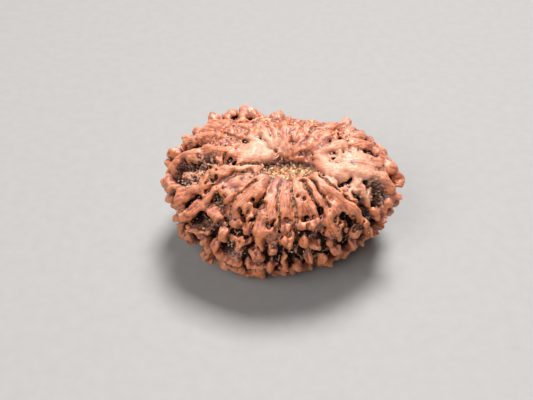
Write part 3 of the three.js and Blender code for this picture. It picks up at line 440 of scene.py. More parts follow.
def carve(field, hole, reach):
    return -blend(-field, hole, reach)


def dimple_depth(x, y, rise):
    """Depth of the dimple round the scar, for a height as a share of the seed's half height. The
    underside has none."""
    upper = np.clip(DIMPLE["fade"] + rise, 0, 1)
    return upper * DIMPLE["depth"] * np.exp(-(x / DIMPLE["length"]) ** 2 - (y / DIMPLE["width"]) ** 2)


def floor_ratio(px, py, pz):
    """Size of the seed's floor at a point, 1 on the floor itself."""
    x = px - POLE_OFFSET * np.clip(pz / HALF_HEIGHT, -1, 1)
    z = np.abs(pz) + dimple_depth(x, py, pz / HALF_HEIGHT)
    waist = WAIST["depth"] * np.exp(-((x - WAIST["x"]) / WAIST["width"]) ** 2)
    y = py + waist * np.clip(py / HALF_BACK, 0, 1) ** 2
    y = y / (1 - SLIMMER_TO_THE_RIGHT * np.clip(x / HALF_LENGTH, -1, 1))
    half = np.where(y > 0, HALF_BACK, HALF_FRONT)
    power = np.where(y > 0, PLAN_POWER_BACK, PLAN_POWER_FRONT)
    plan = (np.abs(x / HALF_LENGTH) ** power + np.abs(y / half) ** power + TINY) ** (1 / power)
    total = plan ** SIDE_POWER_PLAN + (z / HALF_HEIGHT) ** SIDE_POWER_HEIGHT
    return total ** (2 / (SIDE_POWER_PLAN + SIDE_POWER_HEIGHT))


def floor_out(x, y, z):
    """Height above the floor in mm, and the three parts of the direction away from it."""
    reach = SLOPE_REACH
    out = [
        floor_ratio(x + reach, y, z) - floor_ratio(x - reach, y, z),
        floor_ratio(x, y + reach, z) - floor_ratio(x, y - reach, z),
        floor_ratio(x, y, z + reach) - floor_ratio(x, y, z - reach),
    ]
    slope = np.sqrt(out[0] ** 2 + out[1] ** 2 + out[2] ** 2) + TINY
    above = (floor_ratio(x, y, z) - 1) * 2 * reach / slope
    return above, [part / slope for part in out]


def on_floor(azimuth, colatitude):
    """The floor's point at an azimuth and a colatitude."""
    c = math.cos(math.radians(azimuth))
    s = math.sin(math.radians(azimuth))
    fall = math.radians(colatitude)
    half = HALF_FRONT if s < 0 else HALF_BACK
    power = PLAN_POWER_FRONT if s < 0 else PLAN_POWER_BACK
    plan = (abs(c / HALF_LENGTH) ** power + abs(s / half) ** power) ** (-1 / power)
    plan *= math.sin(fall) ** (2 / SIDE_POWER_PLAN)
    rise = math.copysign(abs(math.cos(fall)) ** (2 / SIDE_POWER_HEIGHT), math.cos(fall))
    x = plan * c
    y = plan * s * (1 - SLIMMER_TO_THE_RIGHT * x / HALF_LENGTH)
    waist = WAIST["depth"] * math.exp(-((x - WAIST["x"]) / WAIST["width"]) ** 2)
    y -= waist * min(max(y / HALF_BACK, 0), 1) ** 2
    return np.array([x + POLE_OFFSET * rise, y, HALF_HEIGHT * rise - dimple_depth(x, y, rise)])


def path_points(stations):
    """The floor's points along a path."""
    return np.array([on_floor(*station) for station in stations])


def hidden_relief(draw):
    """Ridges and pits of the hidden sides, in rings of knobs from the edge of what can be seen."""
    ridges = []
    pits = []

    def between(limits):
        return limits[0] + (limits[1] - limits[0]) * draw()

    ring = HIDDEN["first_row"]
    while ring < HIDDEN["last_row"]:
        around = 2 * math.pi * HIDDEN["mean_radius"] * math.sin(math.radians(ring))
        count = math.floor(around / HIDDEN["spacing"] + 0.5)
        step = 360 / count
        for i in range(count):
            azimuth = step * (i + HIDDEN["sideways_swing"] * draw())
            colatitude = ring + HIDDEN["row_step"] * HIDDEN["downward_swing"] * draw()
            height = between(HIDDEN["height"])
            width = between(HIDDEN["half_width"])
            length = between(HIDDEN["length"])
            sway = step * HIDDEN["sway"] * (draw() - 0.5)
            bridged = draw() < BRIDGES["share"]
            pitted = draw() < HIDDEN_PITS["share"]
            pit_width = between(HIDDEN_PITS["half_width"])
            edge = HIDDEN["edge"] - HIDDEN["edge_swing"] * math.sin(math.radians(azimuth))
            if colatitude < edge:
                continue
            start = (azimuth, colatitude)
            ridges.append((height, width, width, [start, (azimuth + sway, colatitude + length)]))
            if bridged:
                side = (azimuth + step, colatitude + HIDDEN["row_step"] * BRIDGES["fall"])
                narrow = width * BRIDGES["width"]
                ridges.append((height * BRIDGES["height"], narrow, narrow, [start, side]))
            if pitted:
                middle = azimuth + step * HIDDEN_PITS["middle"]
                path = [(middle, colatitude), (middle, colatitude + HIDDEN_PITS["length"])]
                pits.append((HIDDEN_PITS["depth"], pit_width, path))
        ring += HIDDEN["row_step"]
    return ridges, pits


class Grid:
    """Points in the seed's own frame, with the seed's form worked out on them."""

    def __init__(self, cell):
        counts = 2 * np.ceil(HALF_SPACE / cell).astype(int) + 1
        self.cell = cell
        self.low = -(counts - 1) / 2 * cell
        axes = [np.arange(count) * cell + low for count, low in zip(counts, self.low)]
        self.at = [part.astype(np.float32) for part in np.meshgrid(*axes, indexing="ij")]

    def near(self, points, reach):
        """The slices of the grid that lie round some points."""
        first = np.floor((points.min(axis=0) - reach - self.low) / self.cell).astype(int)
        last = np.ceil((points.max(axis=0) + reach - self.low) / self.cell).astype(int) + 1
        return tuple(slice(max(a, 0), max(b, 0)) for a, b in zip(first, last))

    def sample(self, values, points):
        """Values at points between the grid's own, by straight blending."""
        place = (points - self.low) / self.cell
        first = np.clip(np.floor(place).astype(int), 0, np.array(values.shape) - 2)
        share = np.clip(place - first, 0, 1)
        total = 0
        for corner in np.ndindex(2, 2, 2):
            weight = np.prod(np.where(corner, share, 1 - share), axis=1)
            i, j, k = (first + corner).T
            total = total + weight * values[i, j, k]
        return total


def across_path(asked, stations, start_width, end_width):
    """Distance across a path, as a share of its half width, and that half width."""
    points = path_points(stations)
    outs = np.array([floor_out(*point)[1] for point in points])
    widths = np.linspace(start_width, end_width, len(points))
    best_share = np.full(asked[0].shape, FAR_AWAY, np.float32)
    best_width = np.full(asked[0].shape, start_width, np.float32)
    for i in range(len(points) - 1):
        along = points[i + 1] - points[i]
        way = [part - points[i][k] for k, part in enumerate(asked)]
        free = sum(part * along[k] for k, part in enumerate(way)) / along.dot(along)
        share = np.clip(free, 0, 1)
        past = (free - share) ** 2 * along.dot(along) * (END_BLUNTNESS ** 2 - 1)
        rest = [part - share * along[k] for k, part in enumerate(way)]
        out = outs[i] + outs[i + 1]
        out /= np.linalg.norm(out)
        rise = sum(part * out[k] for k, part in enumerate(rest))
        across = np.sqrt(np.maximum(sum(part * part for part in rest) + past - rise * rise, 0))
        width = widths[i] + share * (widths[i + 1] - widths[i])
        closer = (np.abs(rise) < FAR_SIDE) & (across / width < best_share)
        best_share = np.where(closer, across / width, best_share)
        best_width = np.where(closer, width, best_width)
    return best_share, best_width


def add_ridge(form, ridge, level, asked, thin, grain, grid):
    """Blends one ridge or knob, with its path's rounded cross-section, on to the form."""
    height, start_width, end_width, stations = ridge
    height *= RIDGE_SCALE
    points = path_points(stations)
    widest = max(start_width, end_width)
    here = grid.near(points, widest * RIDGE_REACH["widths"] + height + RIDGE_REACH["spare"])
    share, width = across_path([part[here] for part in asked], stations, start_width, end_width)
    narrowing = thin[here] * WIDTH_SCALE
    share = share / narrowing
    width = width * narrowing
    shoulder = height * RIDGE_SHOULDER
    rise = height - shoulder
    raised = np.maximum(level[here] - shoulder, 0) / rise
    upper = (share ** CREST_POWER + raised ** CREST_POWER) ** (1 / CREST_POWER)
    below = np.clip((shoulder - level[here]) / shoulder, 0, 1)
    undercut = UNDERCUT["knob"] if widest < UNDERCUT["broad_from"] else UNDERCUT["broad"]
    size = np.where(below > 0, share / (1 - undercut * below * below), upper)
    own = (size - 1) * np.minimum(width, max(rise, SMALLEST_RISE)) - RIDGE_GRAIN * grain[here]
    form[here] = blend(form[here], own, RIDGE_MERGE)


def carve_pit(form, pit, reach, above, asked, grain, grid):
    """Sinks one pit or gap below the floor."""
    depth, half_width, stations = pit
    points = path_points(stations)
    here = grid.near(points, half_width * PIT_REACH["widths"] + depth + PIT_REACH["spare"])
    share, width = across_path([part[here] for part in asked], stations, half_width, half_width)
    sunk = np.minimum(above[here] - PIT_RIM, 0) / (depth + PIT_RIM)
    own = (np.hypot(share, sunk) - 1) * width + PIT_GRAIN * grain[here]
    form[here] = carve(form[here], own, reach)


def carve_seam(form, stations, over_ground, asked, grid):
    """Sinks one thin seam between two faces."""
    points = path_points(stations)
    here = grid.near(points, SEAM["reach"])
    width = SEAM["half_width"]
    share, _ = across_path([part[here] for part in asked], stations, width, width)
    own = np.maximum((share - 1) * width, -(over_ground[here] + SEAM["depth"]))
    form[here] = carve(form[here], own, SEAM["blend"])


def scar_ring(x, y):
    """Size of the scar's outline at a place, 1 on the outline itself."""
    along = np.abs((x - SCAR["x"]) / SCAR["half_length"])
    aside = np.abs((y - SCAR["y"]) / SCAR["half_width"])
    return (along ** SCAR["power"] + aside ** SCAR["power"]) ** (1 / SCAR["power"])


def carve_scar(form, above, grain, grid):
    """Sinks the slot at the pole, where the stalk was."""
    x, y, z = grid.at
    wall = (scar_ring(x, y) - 1) * SCAR["half_width"] * SCAR["steepness"]
    slot = -blend(-wall, above + SCAR["depth"] + SCAR["grain"] * grain, SCAR["blend"])
    return np.where(z > 0, carve(form, slot, SCAR["blend"]), form)


def world_height(x, y, z):
    """Height over the surface that the tilted seed lies on."""
    return z * math.cos(TILT) + y * math.sin(TILT) + CENTRE[2]


def grow_form(grid):
    """The seed's form on a grid, negative inside, and the height above its valley floor."""
    x, y, z = grid.at
    draw = make_draw(SEED_OF_CHANCE)
    warp_waves = [make_waves(WARP, draw) for _ in range(3)]
    swell_waves = make_waves(SWELL, draw)
    hidden_ridges, hidden_pits = hidden_relief(draw)
    grain_waves = make_waves(GRAIN, draw)
    fine_waves = [make_waves(FINE_WARP, draw) for _ in range(3)]

    above, out = floor_out(x, y, z)
    lift = np.clip(above, 0, LEAN_LIMIT) * LEAN + np.clip(above, -LEAN_LIMIT, 0) * PIT_LEAN
    lift *= np.sign(z)
    asked = []
    for k, part in enumerate(grid.at):
        bend = WARP["size"] * add_waves(warp_waves[k], x, y, z)
        bend = bend + FINE_WARP["size"] * add_waves(fine_waves[k], x, y, z)
        asked.append(part + bend + lift * ((1 if k == 2 else 0) - out[2] * out[k]))
    swell = SWELL["size"] * add_waves(swell_waves, x, y, z)
    grain = GRAIN["size"] * add_waves(grain_waves, x, y, z)
    polar = np.clip((np.abs(z) - GROUND["from"]) / GROUND["over"], 0, 1)
    steepness = polar * polar * (3 - 2 * polar)
    ground = GROUND["low"] + GROUND["rise"] * steepness
    from_axis = np.hypot((x - SCAR["x"]) / THINNING["stretch"], y)
    thin = np.clip((from_axis - THINNING["start"]) / THINNING["reach"], 0, 1)
    thin = THINNING["least"] + (1 - THINNING["least"]) * thin
    thin = thin * (1 + WIDER_NEAR_THE_POLES * steepness)
    level = above + SWELL["on_crests"] * swell + GRAIN["on_crests"] * grain

    form = above - ground - swell + grain
    for pit in PITS + hidden_pits:
        carve_pit(form, pit, PIT_BLEND, above, asked, grain, grid)
    folds = np.full(form.shape, FAR_AWAY, np.float32)
    for ridge in RIDGES + hidden_ridges:
        add_ridge(folds, ridge, level, asked, thin, grain, grid)
    form = blend(form, folds, RIDGE_BLEND)
    for gap in GAPS:
        carve_pit(form, gap, GAP_BLEND, above, asked, grain, grid)
    form = carve_scar(form, above, grain, grid)
    for stations in SEAMS:
        carve_seam(form, stations, above - ground, asked, grid)
    return np.maximum(form, -world_height(x, y, z)), above


def largest_body(points, quads):
    """Drops every scrap that isn't joined to the seed itself."""
    label = np.arange(len(points))
    while True:
        lowest = label[quads].min(axis=1)
        joined = label.copy()
        np.minimum.at(joined, quads.ravel(), np.repeat(lowest, quads.shape[1]))
        joined = joined[joined]
        if (joined == label).all():
            break
        label = joined
    names, sizes = np.unique(label, return_counts=True)
    kept = label == names[sizes.argmax()]
    number = np.cumsum(kept) - 1
    return points[kept], number[quads[kept[quads[:, 0]]]]


def blur(values, reach):
    """Mean over a cube round each point."""
    out = values.astype(np.float32)
    for axis in range(3):
        pad = [(0, 0)] * 3
        pad[axis] = (reach + 1, reach)
        total = np.cumsum(np.pad(out, pad, mode="edge"), axis=axis, dtype=np.float64)
        width = 2 * reach + 1
        late = np.take(total, range(width, total.shape[axis]), axis=axis)
        early = np.take(total, range(total.shape[axis] - width), axis=axis)
        out = ((late - early) / width).astype(np.float32)
    return out


def corners_of(mesh):
    """Places of a mesh's corners."""
    places = np.empty(len(mesh.vertices) * 3, np.float32)
    mesh.vertices.foreach_get("co", places)
    return places.reshape(-1, 3).astype(float)


def put_in_scene(name, data):
    """A new object that holds a mesh, a camera or a lamp."""
    made = bpy.data.objects.new(name, data)
    bpy.context.scene.collection.objects.link(made)
    return made


def applied(piece, modifier, name):
    """The mesh that a modifier makes of a piece, with the modifier taken off again."""
    bpy.context.view_layer.update()
    seen = piece.evaluated_get(bpy.context.evaluated_depsgraph_get())
    mesh = bpy.data.meshes.new_from_object(seen)
    piece.modifiers.remove(modifier)
    mesh.name = name
    return mesh


def mesh_object(name, points, faces):
    """A plain mesh from points in metres, in the frame's own axes."""
    mesh = bpy.data.meshes.new(name)
    mesh.vertices.add(len(points))
    mesh.vertices.foreach_set("co", np.asarray(points, np.float32).ravel())
    side = faces.shape[1]
    mesh.loops.add(faces.size)
    mesh.loops.foreach_set("vertex_index", faces.astype(np.int32).ravel())
    mesh.polygons.add(len(faces))
    mesh.polygons.foreach_set("loop_start", np.arange(0, faces.size, side, dtype=np.int32))
    mesh.update(calc_edges=True)
    mesh.validate()
    mesh.shade_smooth()
    return put_in_scene(name, mesh)


def to_world(points):
    """From the seed's own axes, in mm, to where it lies, in metres."""
    x, y, z = points.T
    turned = np.stack([
        x,
        y * math.cos(TILT) - z * math.sin(TILT),
        y * math.sin(TILT) + z * math.cos(TILT),
    ], axis=1)
    return (turned + CENTRE) * MM


def to_seed(points):
    """From where the seed lies, in metres, to its own axes, in mm."""
    x, y, z = (points / MM - CENTRE).T
    return np.stack([
        x,
        y * math.cos(TILT) + z * math.sin(TILT),
        z * math.cos(TILT) - y * math.sin(TILT),
    ], axis=1)


def thinned(piece):
    """The same piece with its flattest faces joined, down to the most triangles set for it."""
    triangles = 2 * len(piece.data.polygons)
    if triangles < MOST_TRIANGLES:
        return piece
    modifier = piece.modifiers.new("thin", "DECIMATE")
    modifier.ratio = MOST_TRIANGLES / triangles
    piece.data = applied(piece, modifier, piece.name)
    piece.data.shade_smooth()
    return piece


def make_skin(form, above, grid):
    """The seed's skin as one closed mesh, with what its finish reads kept at every corner."""
    volume = openvdb.FloatGrid(1.0)
    volume.copyFromArray(form.astype(np.float32))
    places, quads = volume.convertToQuads(isovalue=0.0)
    places, quads = largest_body(places.astype(float), quads.astype(int))
    piece = thinned(mesh_object("seed_skin", to_world(places * grid.cell + grid.low), quads))
    places = to_seed(corners_of(piece.data))
    for name, values in skin_layers(places, form, above, grid).items():
        kept = piece.data.attributes.new(name, "FLOAT", "POINT")
        kept.data.foreach_set("value", values.astype(np.float32))
    kept = piece.data.attributes.new("meridian", "FLOAT_VECTOR", "POINT")
    kept.data.foreach_set("vector", meridian_place(places).astype(np.float32).ravel())
    return piece


def skin_layers(places, form, above, grid):
    """What the finish and the dirt read at each place of the skin."""
    slope = np.gradient(form, grid.cell)
    normals = np.stack([grid.sample(part, places) for part in slope], axis=1)
    normals /= np.linalg.norm(normals, axis=1, keepdims=True) + TINY
    near, wide = [blur(form < 0, round(kind["reach"] / grid.cell)) for kind in (HOLLOW, SHELTER)]
    layers = {
        # Hollow and shelter also set painted shade on flanks and in pits; upward sets painted top light
        # and an underside glow; the shoulder spots a part-painted highlight.
        "hollow": grid.sample(near, places + normals * HOLLOW["off"]),
        "shelter": grid.sample(wide, places + normals * SHELTER["off"]),
        "rise": grid.sample(above, places),
        "upward": normals[:, 1] * math.sin(TILT) + normals[:, 2] * math.cos(TILT),
        "wear_and_highlight": spots(places, WEAR_AND_HIGHLIGHT_SPOTS),
        "dusty": spots(places, DUSTY_SPOTS),
        "littered": spots(places, CRUMB_SPOTS),
        "scar": scar_share(places),
        "gold": gold_share(places),
        "seam": seam_share(places),
    }
    layers["crumbs"] = crumb_share(layers)
    return layers


def meridian_place(places):
    """Place round the axis, in metres, and a share of the fall from the pole. Streaks follow it."""
    x, y, z = places.T
    x = x - SCAR["x"]
    y = y * STREAK["squeeze"]
    flat = np.hypot(x, y) + TINY
    fall = np.arctan2(flat, z)
    size = STREAK["size"] * MM
    return np.stack([x / flat * size, y / flat * size, fall * size * STREAK["length"]], axis=1)


def spots(places, centres):
    """How far inside a list of round patches each place is, 1 at a patch's middle."""
    share = np.zeros(len(places))
    for azimuth, colatitude, radius in centres:
        away = np.linalg.norm(places - on_floor(azimuth, colatitude), axis=1)
        share = np.maximum(share, np.exp(-(away / radius) ** SPOT_POWER))
    return share


def scar_share(places):
    """1 inside the scar's slot, fading out over its rim."""
    x, y, z = places.T
    return np.clip((SCAR["rim"] - scar_ring(x, y)) / SCAR["fade"], 0, 1) * (z > 0)


def gold_share(places):
    """1 where the straw-coloured fibres fill the scar, fading out round them."""
    x, y, z = places.T
    ring = np.hypot((x - GOLD["x"]) / GOLD["half_length"], (y - GOLD["y"]) / GOLD["half_width"])
    return np.clip(GOLD["middle"] - GOLD["fall"] * ring, 0, 1) * (z > 0)


def seam_share(places):
    """1 on the seams, fading out beside them."""
    width = SEAM["half_width"]
    nearest = np.full(len(places), float(FAR_AWAY))
    for stations in SEAMS:
        share, _ = across_path(list(places.T), stations, width, width)
        nearest = np.minimum(nearest, share)
    return np.clip(SEAM["fade"] - nearest, 0, 1)


def crumb_share(layers):
    """How thickly crumbs and torn fibres lie: in the hollows, most in a few of them."""
    hollow = np.clip((layers["hollow"] - CRUMBS["crest_from"]) / CRUMBS["crest_over"], 0, 1)
    height = CRUMBS["height"] + CRUMBS["litter_height"] * layers["littered"]
    deep = np.clip((height - layers["rise"]) / CRUMBS["height_over"], 0, 1)
    deep *= np.clip((layers["hollow"] - CRUMBS["floor_from"]) / CRUMBS["floor_over"], 0, 1)
    thickness = CRUMBS["least"] + (1 - CRUMBS["least"]) * layers["littered"]
    return np.maximum(hollow, deep) * thickness * (1 - CRUMBS["off_seams"] * layers["seam"])


# Numbers of the two places where a mix takes its colours in.
FIRST_COLOUR = 6
SECOND_COLOUR = 7


class Finish:
    """Short words for the nodes of one material."""

    def __init__(self, name):
        self.material = bpy.data.materials.new(name)
        self.material.use_nodes = True
        self.tree = self.material.node_tree
        self.shader = self.tree.nodes["Principled BSDF"]
        self.place = self.tree.nodes.new("ShaderNodeTexCoord").outputs["Object"]

    def join(self, source, socket):
        """Links a node's output, or sets a plain value."""
        if isinstance(source, bpy.types.NodeSocket):
            self.tree.links.new(source, socket)
        elif isinstance(source, tuple) and len(source) == 3 and socket.type == "RGBA":
            socket.default_value = (*source, 1)
        else:
            socket.default_value = source

    def layer(self, name, kind="Fac"):
        """What is kept at every corner of the piece under a name."""
        node = self.tree.nodes.new("ShaderNodeAttribute")
        node.attribute_name = name
        return node.outputs[kind]

    def noise(self, size, detail, place=None):
        """Cloudy pattern with features of about the given size in millimetres."""
        node = self.tree.nodes.new("ShaderNodeTexNoise")
        node.inputs["Scale"].default_value = 1 / (size * MM)
        node.inputs["Detail"].default_value = detail
        self.join(place or self.place, node.inputs["Vector"])
        return node.outputs["Fac"]

    def meridian(self):
        """The kept place that makes a pattern run in streaks from pole to pole."""
        return self.layer("meridian", "Vector")

    def maths(self, kind, first, second):
        node = self.tree.nodes.new("ShaderNodeMath")
        node.operation = kind
        self.join(first, node.inputs[0])
        self.join(second, node.inputs[1])
        return node.outputs[0]

    def fade(self, value, start, end, low=0.0, high=1.0):
        """Runs smoothly from low to high while the value goes from start to end."""
        node = self.tree.nodes.new("ShaderNodeMapRange")
        node.interpolation_type = "SMOOTHSTEP"
        self.join(value, node.inputs["Value"])
        self.join(start, node.inputs["From Min"])
        self.join(end, node.inputs["From Max"])
        self.join(low, node.inputs["To Min"])
        self.join(high, node.inputs["To Max"])
        return node.outputs["Result"]

    def mix(self, share, first, second):
        node = self.tree.nodes.new("ShaderNodeMix")
        node.data_type = "RGBA"
        self.join(share, node.inputs["Factor"])
        self.join(first, node.inputs[FIRST_COLOUR])
        self.join(second, node.inputs[SECOND_COLOUR])
        return node.outputs[2]

    def bump(self, height, depth, strength):
        """Fine relief of the given depth in millimetres."""
        node = self.tree.nodes.new("ShaderNodeBump")
        node.inputs["Strength"].default_value = strength
        node.inputs["Distance"].default_value = depth * MM
        self.join(height, node.inputs["Height"])
        self.join(node.outputs["Normal"], self.shader.inputs["Normal"])


# Colours of the shell, from its crests down to its pits. Some also paint light and shade: a top light, a
# glow under the lips, shade on the flanks and in the pits, and a highlight on the shoulders.
# Partly wear, partly a painted highlight on the shoulders.
PALE_SALMON = (0.86, 0.50, 0.36)
# Also painted top light on faces that turn up.
PINK = (0.74, 0.33, 0.22)
SALMON = (0.67, 0.24, 0.125)
# Painted glow of light through the thin lips, on faces that turn down.
GLOW_ORANGE = (0.80, 0.24, 0.05)
OCHRE = (0.52, 0.27, 0.13)
# Flank browns: partly real colour, partly painted shade in hollows; red brown also streaks.
ORANGE_BROWN = (0.50, 0.14, 0.045)
RED_BROWN = (0.24, 0.065, 0.045)
DUST = (0.32, 0.15, 0.155)
SPECK = (0.16, 0.055, 0.045)
VALLEY_LIGHT = (0.58, 0.28, 0.18)
VALLEY_DARK = (0.09, 0.03, 0.03)
# Near black of pits and crevices: partly real, partly painted shade; also the scar's slot.
PIT_BROWN = (0.03, 0.012, 0.010)
SEAM_BROWN = (0.55, 0.25, 0.13)
SCAR_BROWN = (0.18, 0.08, 0.075)
STRAW = (0.85, 0.46, 0.20)

# Noise patterns of the shell: size in mm and detail.
CLOUDS = (2.2, 3)
MOTTLES = (0.5, 4)
SPECKS = (0.3, 3)
FINE_SPECKS = (0.28, 3)
STREAKS = (0.3, 3)
LONG_STREAKS = (0.7, 2)

# Fades of the shell: the value where each starts and ends, and what it runs from and to.
HOLLOW_SWAY = (0.3, 0.7, -0.06, 0.06)
SHELTER_SWAY = (0.3, 0.7, -0.04, 0.04)
RISE_SWAY = (0.0, 1.0, -0.06, 0.06)
DEPTH_SWAY = (0.3, 0.7, -0.12, 0.12)
PINK_CLOUDS = (0.35, 0.65, 0.0, 0.5)
# Painted top light: faces that turn up go pinker.
PAINTED_TOP_LIGHT = (0.7, 1.0, 0.0, 0.5)
# Painted glow of light through the lips: faces that turn down go orange.
PAINTED_UNDERSIDE_GLOW = (0.75, 0.05, 0.0, 0.7)
OCHRE_STREAKS = (0.52, 0.66, 0.0, 0.5)
# Partly the flanks' real browns, partly painted shade: hollow places go browner.
ORANGE_FLANK_TONE_AND_SHADE = (0.27, 0.38)
RED_FLANK_TONE_AND_SHADE = (0.35, 0.46, 0.0, 0.7)
RED_STREAKS = (0.46, 0.60)
STREAKS_LOW_DOWN = (0.22, 0.34, 0.4, 0.85)
DUST_MOTTLES = (0.5, 0.64)
DUST_LOW_DOWN = (0.28, 0.40, 0.25, 0.75)
DARK_DOTS = (0.60, 0.70, 0.0, 0.6)
FLOOR_SPECKS = (0.42, 0.58)
FLOOR_HOLLOWS = (0.42, 0.50)
OPEN_FLOORS = (0.1, -0.2, 0.0, 0.8)
LITTERED_PLACES = (0.2, 0.7)
LITTERED_DEPTHS = (0.9, 0.5)
# Partly the real dark of pits and crevices, partly painted shade.
PIT_DEPTHS = (0.2, -0.3)
PIT_WALLS = (0.31, 0.42)
CREVICES = (0.52, 0.64)
LIGHTER_LITTER = (0.2, 0.7, 1.0, 0.6)
# Pale shoulders: partly wear, partly a painted highlight.
WEAR_AND_HIGHLIGHT_CRESTS = (0.52, 0.40)
WEAR_AND_HIGHLIGHT_MOTTLES = (0.35, 0.6, 0.25, 0.7)
SEAM_SPECKS = (0.4, 0.6, 0.0, 0.6)
ROUGHER_HOLLOWS = (0.42, 0.6, 0.31, 0.8)
DULLER_PITS = (0.1, 0.8, 0.5, 0.05)
DUSTY_SHARE = 0.6
STRAW_SHARE = 0.8

# Light that spreads beneath the shell, and its finest relief.
SPREAD = {"share": 0.3, "radius": (1.0, 0.35, 0.12), "scale": 1.0}
FINE_RELIEF = {"depth": 0.14, "strength": 0.8, "specks": 0.5, "streaks": 0.8}


class Shell(Finish):
    """The finish of the seed's shell, with the patterns and measures that its colours share."""

    def __init__(self, name):
        super().__init__(name)
        self.cloud = self.noise(*CLOUDS)
        self.mottle = self.noise(*MOTTLES)
        self.speck = self.noise(*SPECKS)
        self.streak = self.noise(*STREAKS, self.meridian())
        self.hollow = self.swayed("hollow", self.mottle, HOLLOW_SWAY)
        self.shelter = self.swayed("shelter", self.cloud, SHELTER_SWAY)
        self.depth = self.swayed("rise", self.mottle, DEPTH_SWAY)
        self.low = self.maths("SUBTRACT", self.hollow, self.fade(self.layer("rise"), *RISE_SWAY))

    def swayed(self, name, pattern, sway):
        """A kept number, a little more or less where a pattern says."""
        return self.maths("ADD", self.layer(name), self.fade(pattern, *sway))

    def both(self, first, second):
        """The share of places that two shares have in common."""
        return self.maths("MULTIPLY", first, second)

    def crest(self):
        """Salmon, pinker in clouds and, as painted top light, on faces that turn up; orange down the
        sides as a painted glow of light through the lips; with ochre streaks.
        """
        # Painted top light: pinker the more a face turns up.
        top = self.fade(self.layer("upward"), *PAINTED_TOP_LIGHT)
        pink_tone_and_top_light = self.maths("ADD", self.fade(self.cloud, *PINK_CLOUDS), top)
        colour = self.mix(pink_tone_and_top_light, SALMON, PINK)
        # Painted glow of light through the lips: orange on faces that turn down.
        colour = self.mix(self.fade(self.layer("upward"), *PAINTED_UNDERSIDE_GLOW), colour, GLOW_ORANGE)
        long_streak = self.noise(*LONG_STREAKS, self.meridian())
        return self.mix(self.fade(long_streak, *OCHRE_STREAKS), colour, OCHRE)

    def flank(self, colour):
        """Orange brown and red brown down the flanks, browner where hollow, partly their real colour and
        partly painted shade; with streaks, dust and dark dots.
        """
        # Partly painted shade: the flanks go browner the more hollow they are.
        colour = self.mix(self.fade(self.low, *ORANGE_FLANK_TONE_AND_SHADE), colour, ORANGE_BROWN)
        colour = self.mix(self.fade(self.low, *RED_FLANK_TONE_AND_SHADE), colour, RED_BROWN)
        streaked = self.both(self.fade(self.streak, *RED_STREAKS), self.fade(self.low, *STREAKS_LOW_DOWN))
        colour = self.mix(streaked, colour, RED_BROWN)
        dusted = self.both(self.fade(self.mottle, *DUST_MOTTLES), self.fade(self.low, *DUST_LOW_DOWN))
        colour = self.mix(dusted, colour, DUST)
        return self.mix(self.fade(self.noise(*FINE_SPECKS), *DARK_DOTS), colour, SPECK)

    def valley(self, colour):
        """Specked brown in the hollows, on open floors and where crumbs lie."""
        floor = self.mix(self.fade(self.speck, *FLOOR_SPECKS), VALLEY_DARK, VALLEY_LIGHT)
        colour = self.mix(self.fade(self.hollow, *FLOOR_HOLLOWS), colour, floor)
        colour = self.mix(self.fade(self.depth, *OPEN_FLOORS), colour, floor)
        littered = self.fade(self.layer("littered"), *LITTERED_PLACES)
        return self.mix(self.both(littered, self.fade(self.depth, *LITTERED_DEPTHS)), colour, floor)

    def pit_darkness_and_shade(self):
        """How far a place lies in the dark of a pit or crevice, partly its real colour and partly painted
        shade, less so where crumbs fill it.
        """
        pit = self.both(self.fade(self.depth, *PIT_DEPTHS), self.fade(self.shelter, *PIT_WALLS))
        deep = self.maths("MAXIMUM", self.fade(self.shelter, *CREVICES), pit)
        return self.both(deep, self.fade(self.layer("littered"), *LIGHTER_LITTER))

    def patches(self, colour):
        """Pale shoulders, partly wear and partly a painted highlight, dusty patches, and husk along the
        seams.
        """
        # Pale shoulders: partly wear, partly a painted highlight.
        wear_and_highlight = self.both(self.layer("wear_and_highlight"), self.fade(self.hollow, *WEAR_AND_HIGHLIGHT_CRESTS))
        colour = self.mix(self.both(wear_and_highlight, self.fade(self.mottle, *WEAR_AND_HIGHLIGHT_MOTTLES)), colour, PALE_SALMON)
        colour = self.mix(self.both(self.layer("dusty"), DUSTY_SHARE), colour, DUST)
        seam = self.both(self.layer("seam"), self.fade(self.speck, *SEAM_SPECKS))
        return self.mix(seam, colour, SEAM_BROWN)

    def scar(self, colour):
        """Dark specked brown in the scar's slot, and straw in its middle."""
        slot = self.mix(self.fade(self.speck, *FLOOR_SPECKS), PIT_BROWN, SCAR_BROWN)
        colour = self.mix(self.layer("scar"), colour, slot)
        return self.mix(self.both(self.layer("gold"), STRAW_SHARE), colour, STRAW)

    def gloss(self, dark):
        """Waxy on the crests and dull in the pits, with light spread beneath the surface."""
        self.join(self.fade(self.hollow, *ROUGHER_HOLLOWS), self.shader.inputs["Roughness"])
        self.join(self.fade(dark, *DULLER_PITS), self.shader.inputs["Specular IOR Level"])
        self.shader.inputs["Subsurface Weight"].default_value = SPREAD["share"]
        self.shader.inputs["Subsurface Radius"].default_value = SPREAD["radius"]
        self.shader.inputs["Subsurface Scale"].default_value = SPREAD["scale"] * MM

    def relief(self):
        """The finest roughness, of mottles, specks and streaks."""
        height = self.maths("ADD", self.mottle, self.both(self.speck, FINE_RELIEF["specks"]))
        height = self.maths("SUBTRACT", height, self.both(self.streak, FINE_RELIEF["streaks"]))
        self.bump(height, FINE_RELIEF["depth"], FINE_RELIEF["strength"])


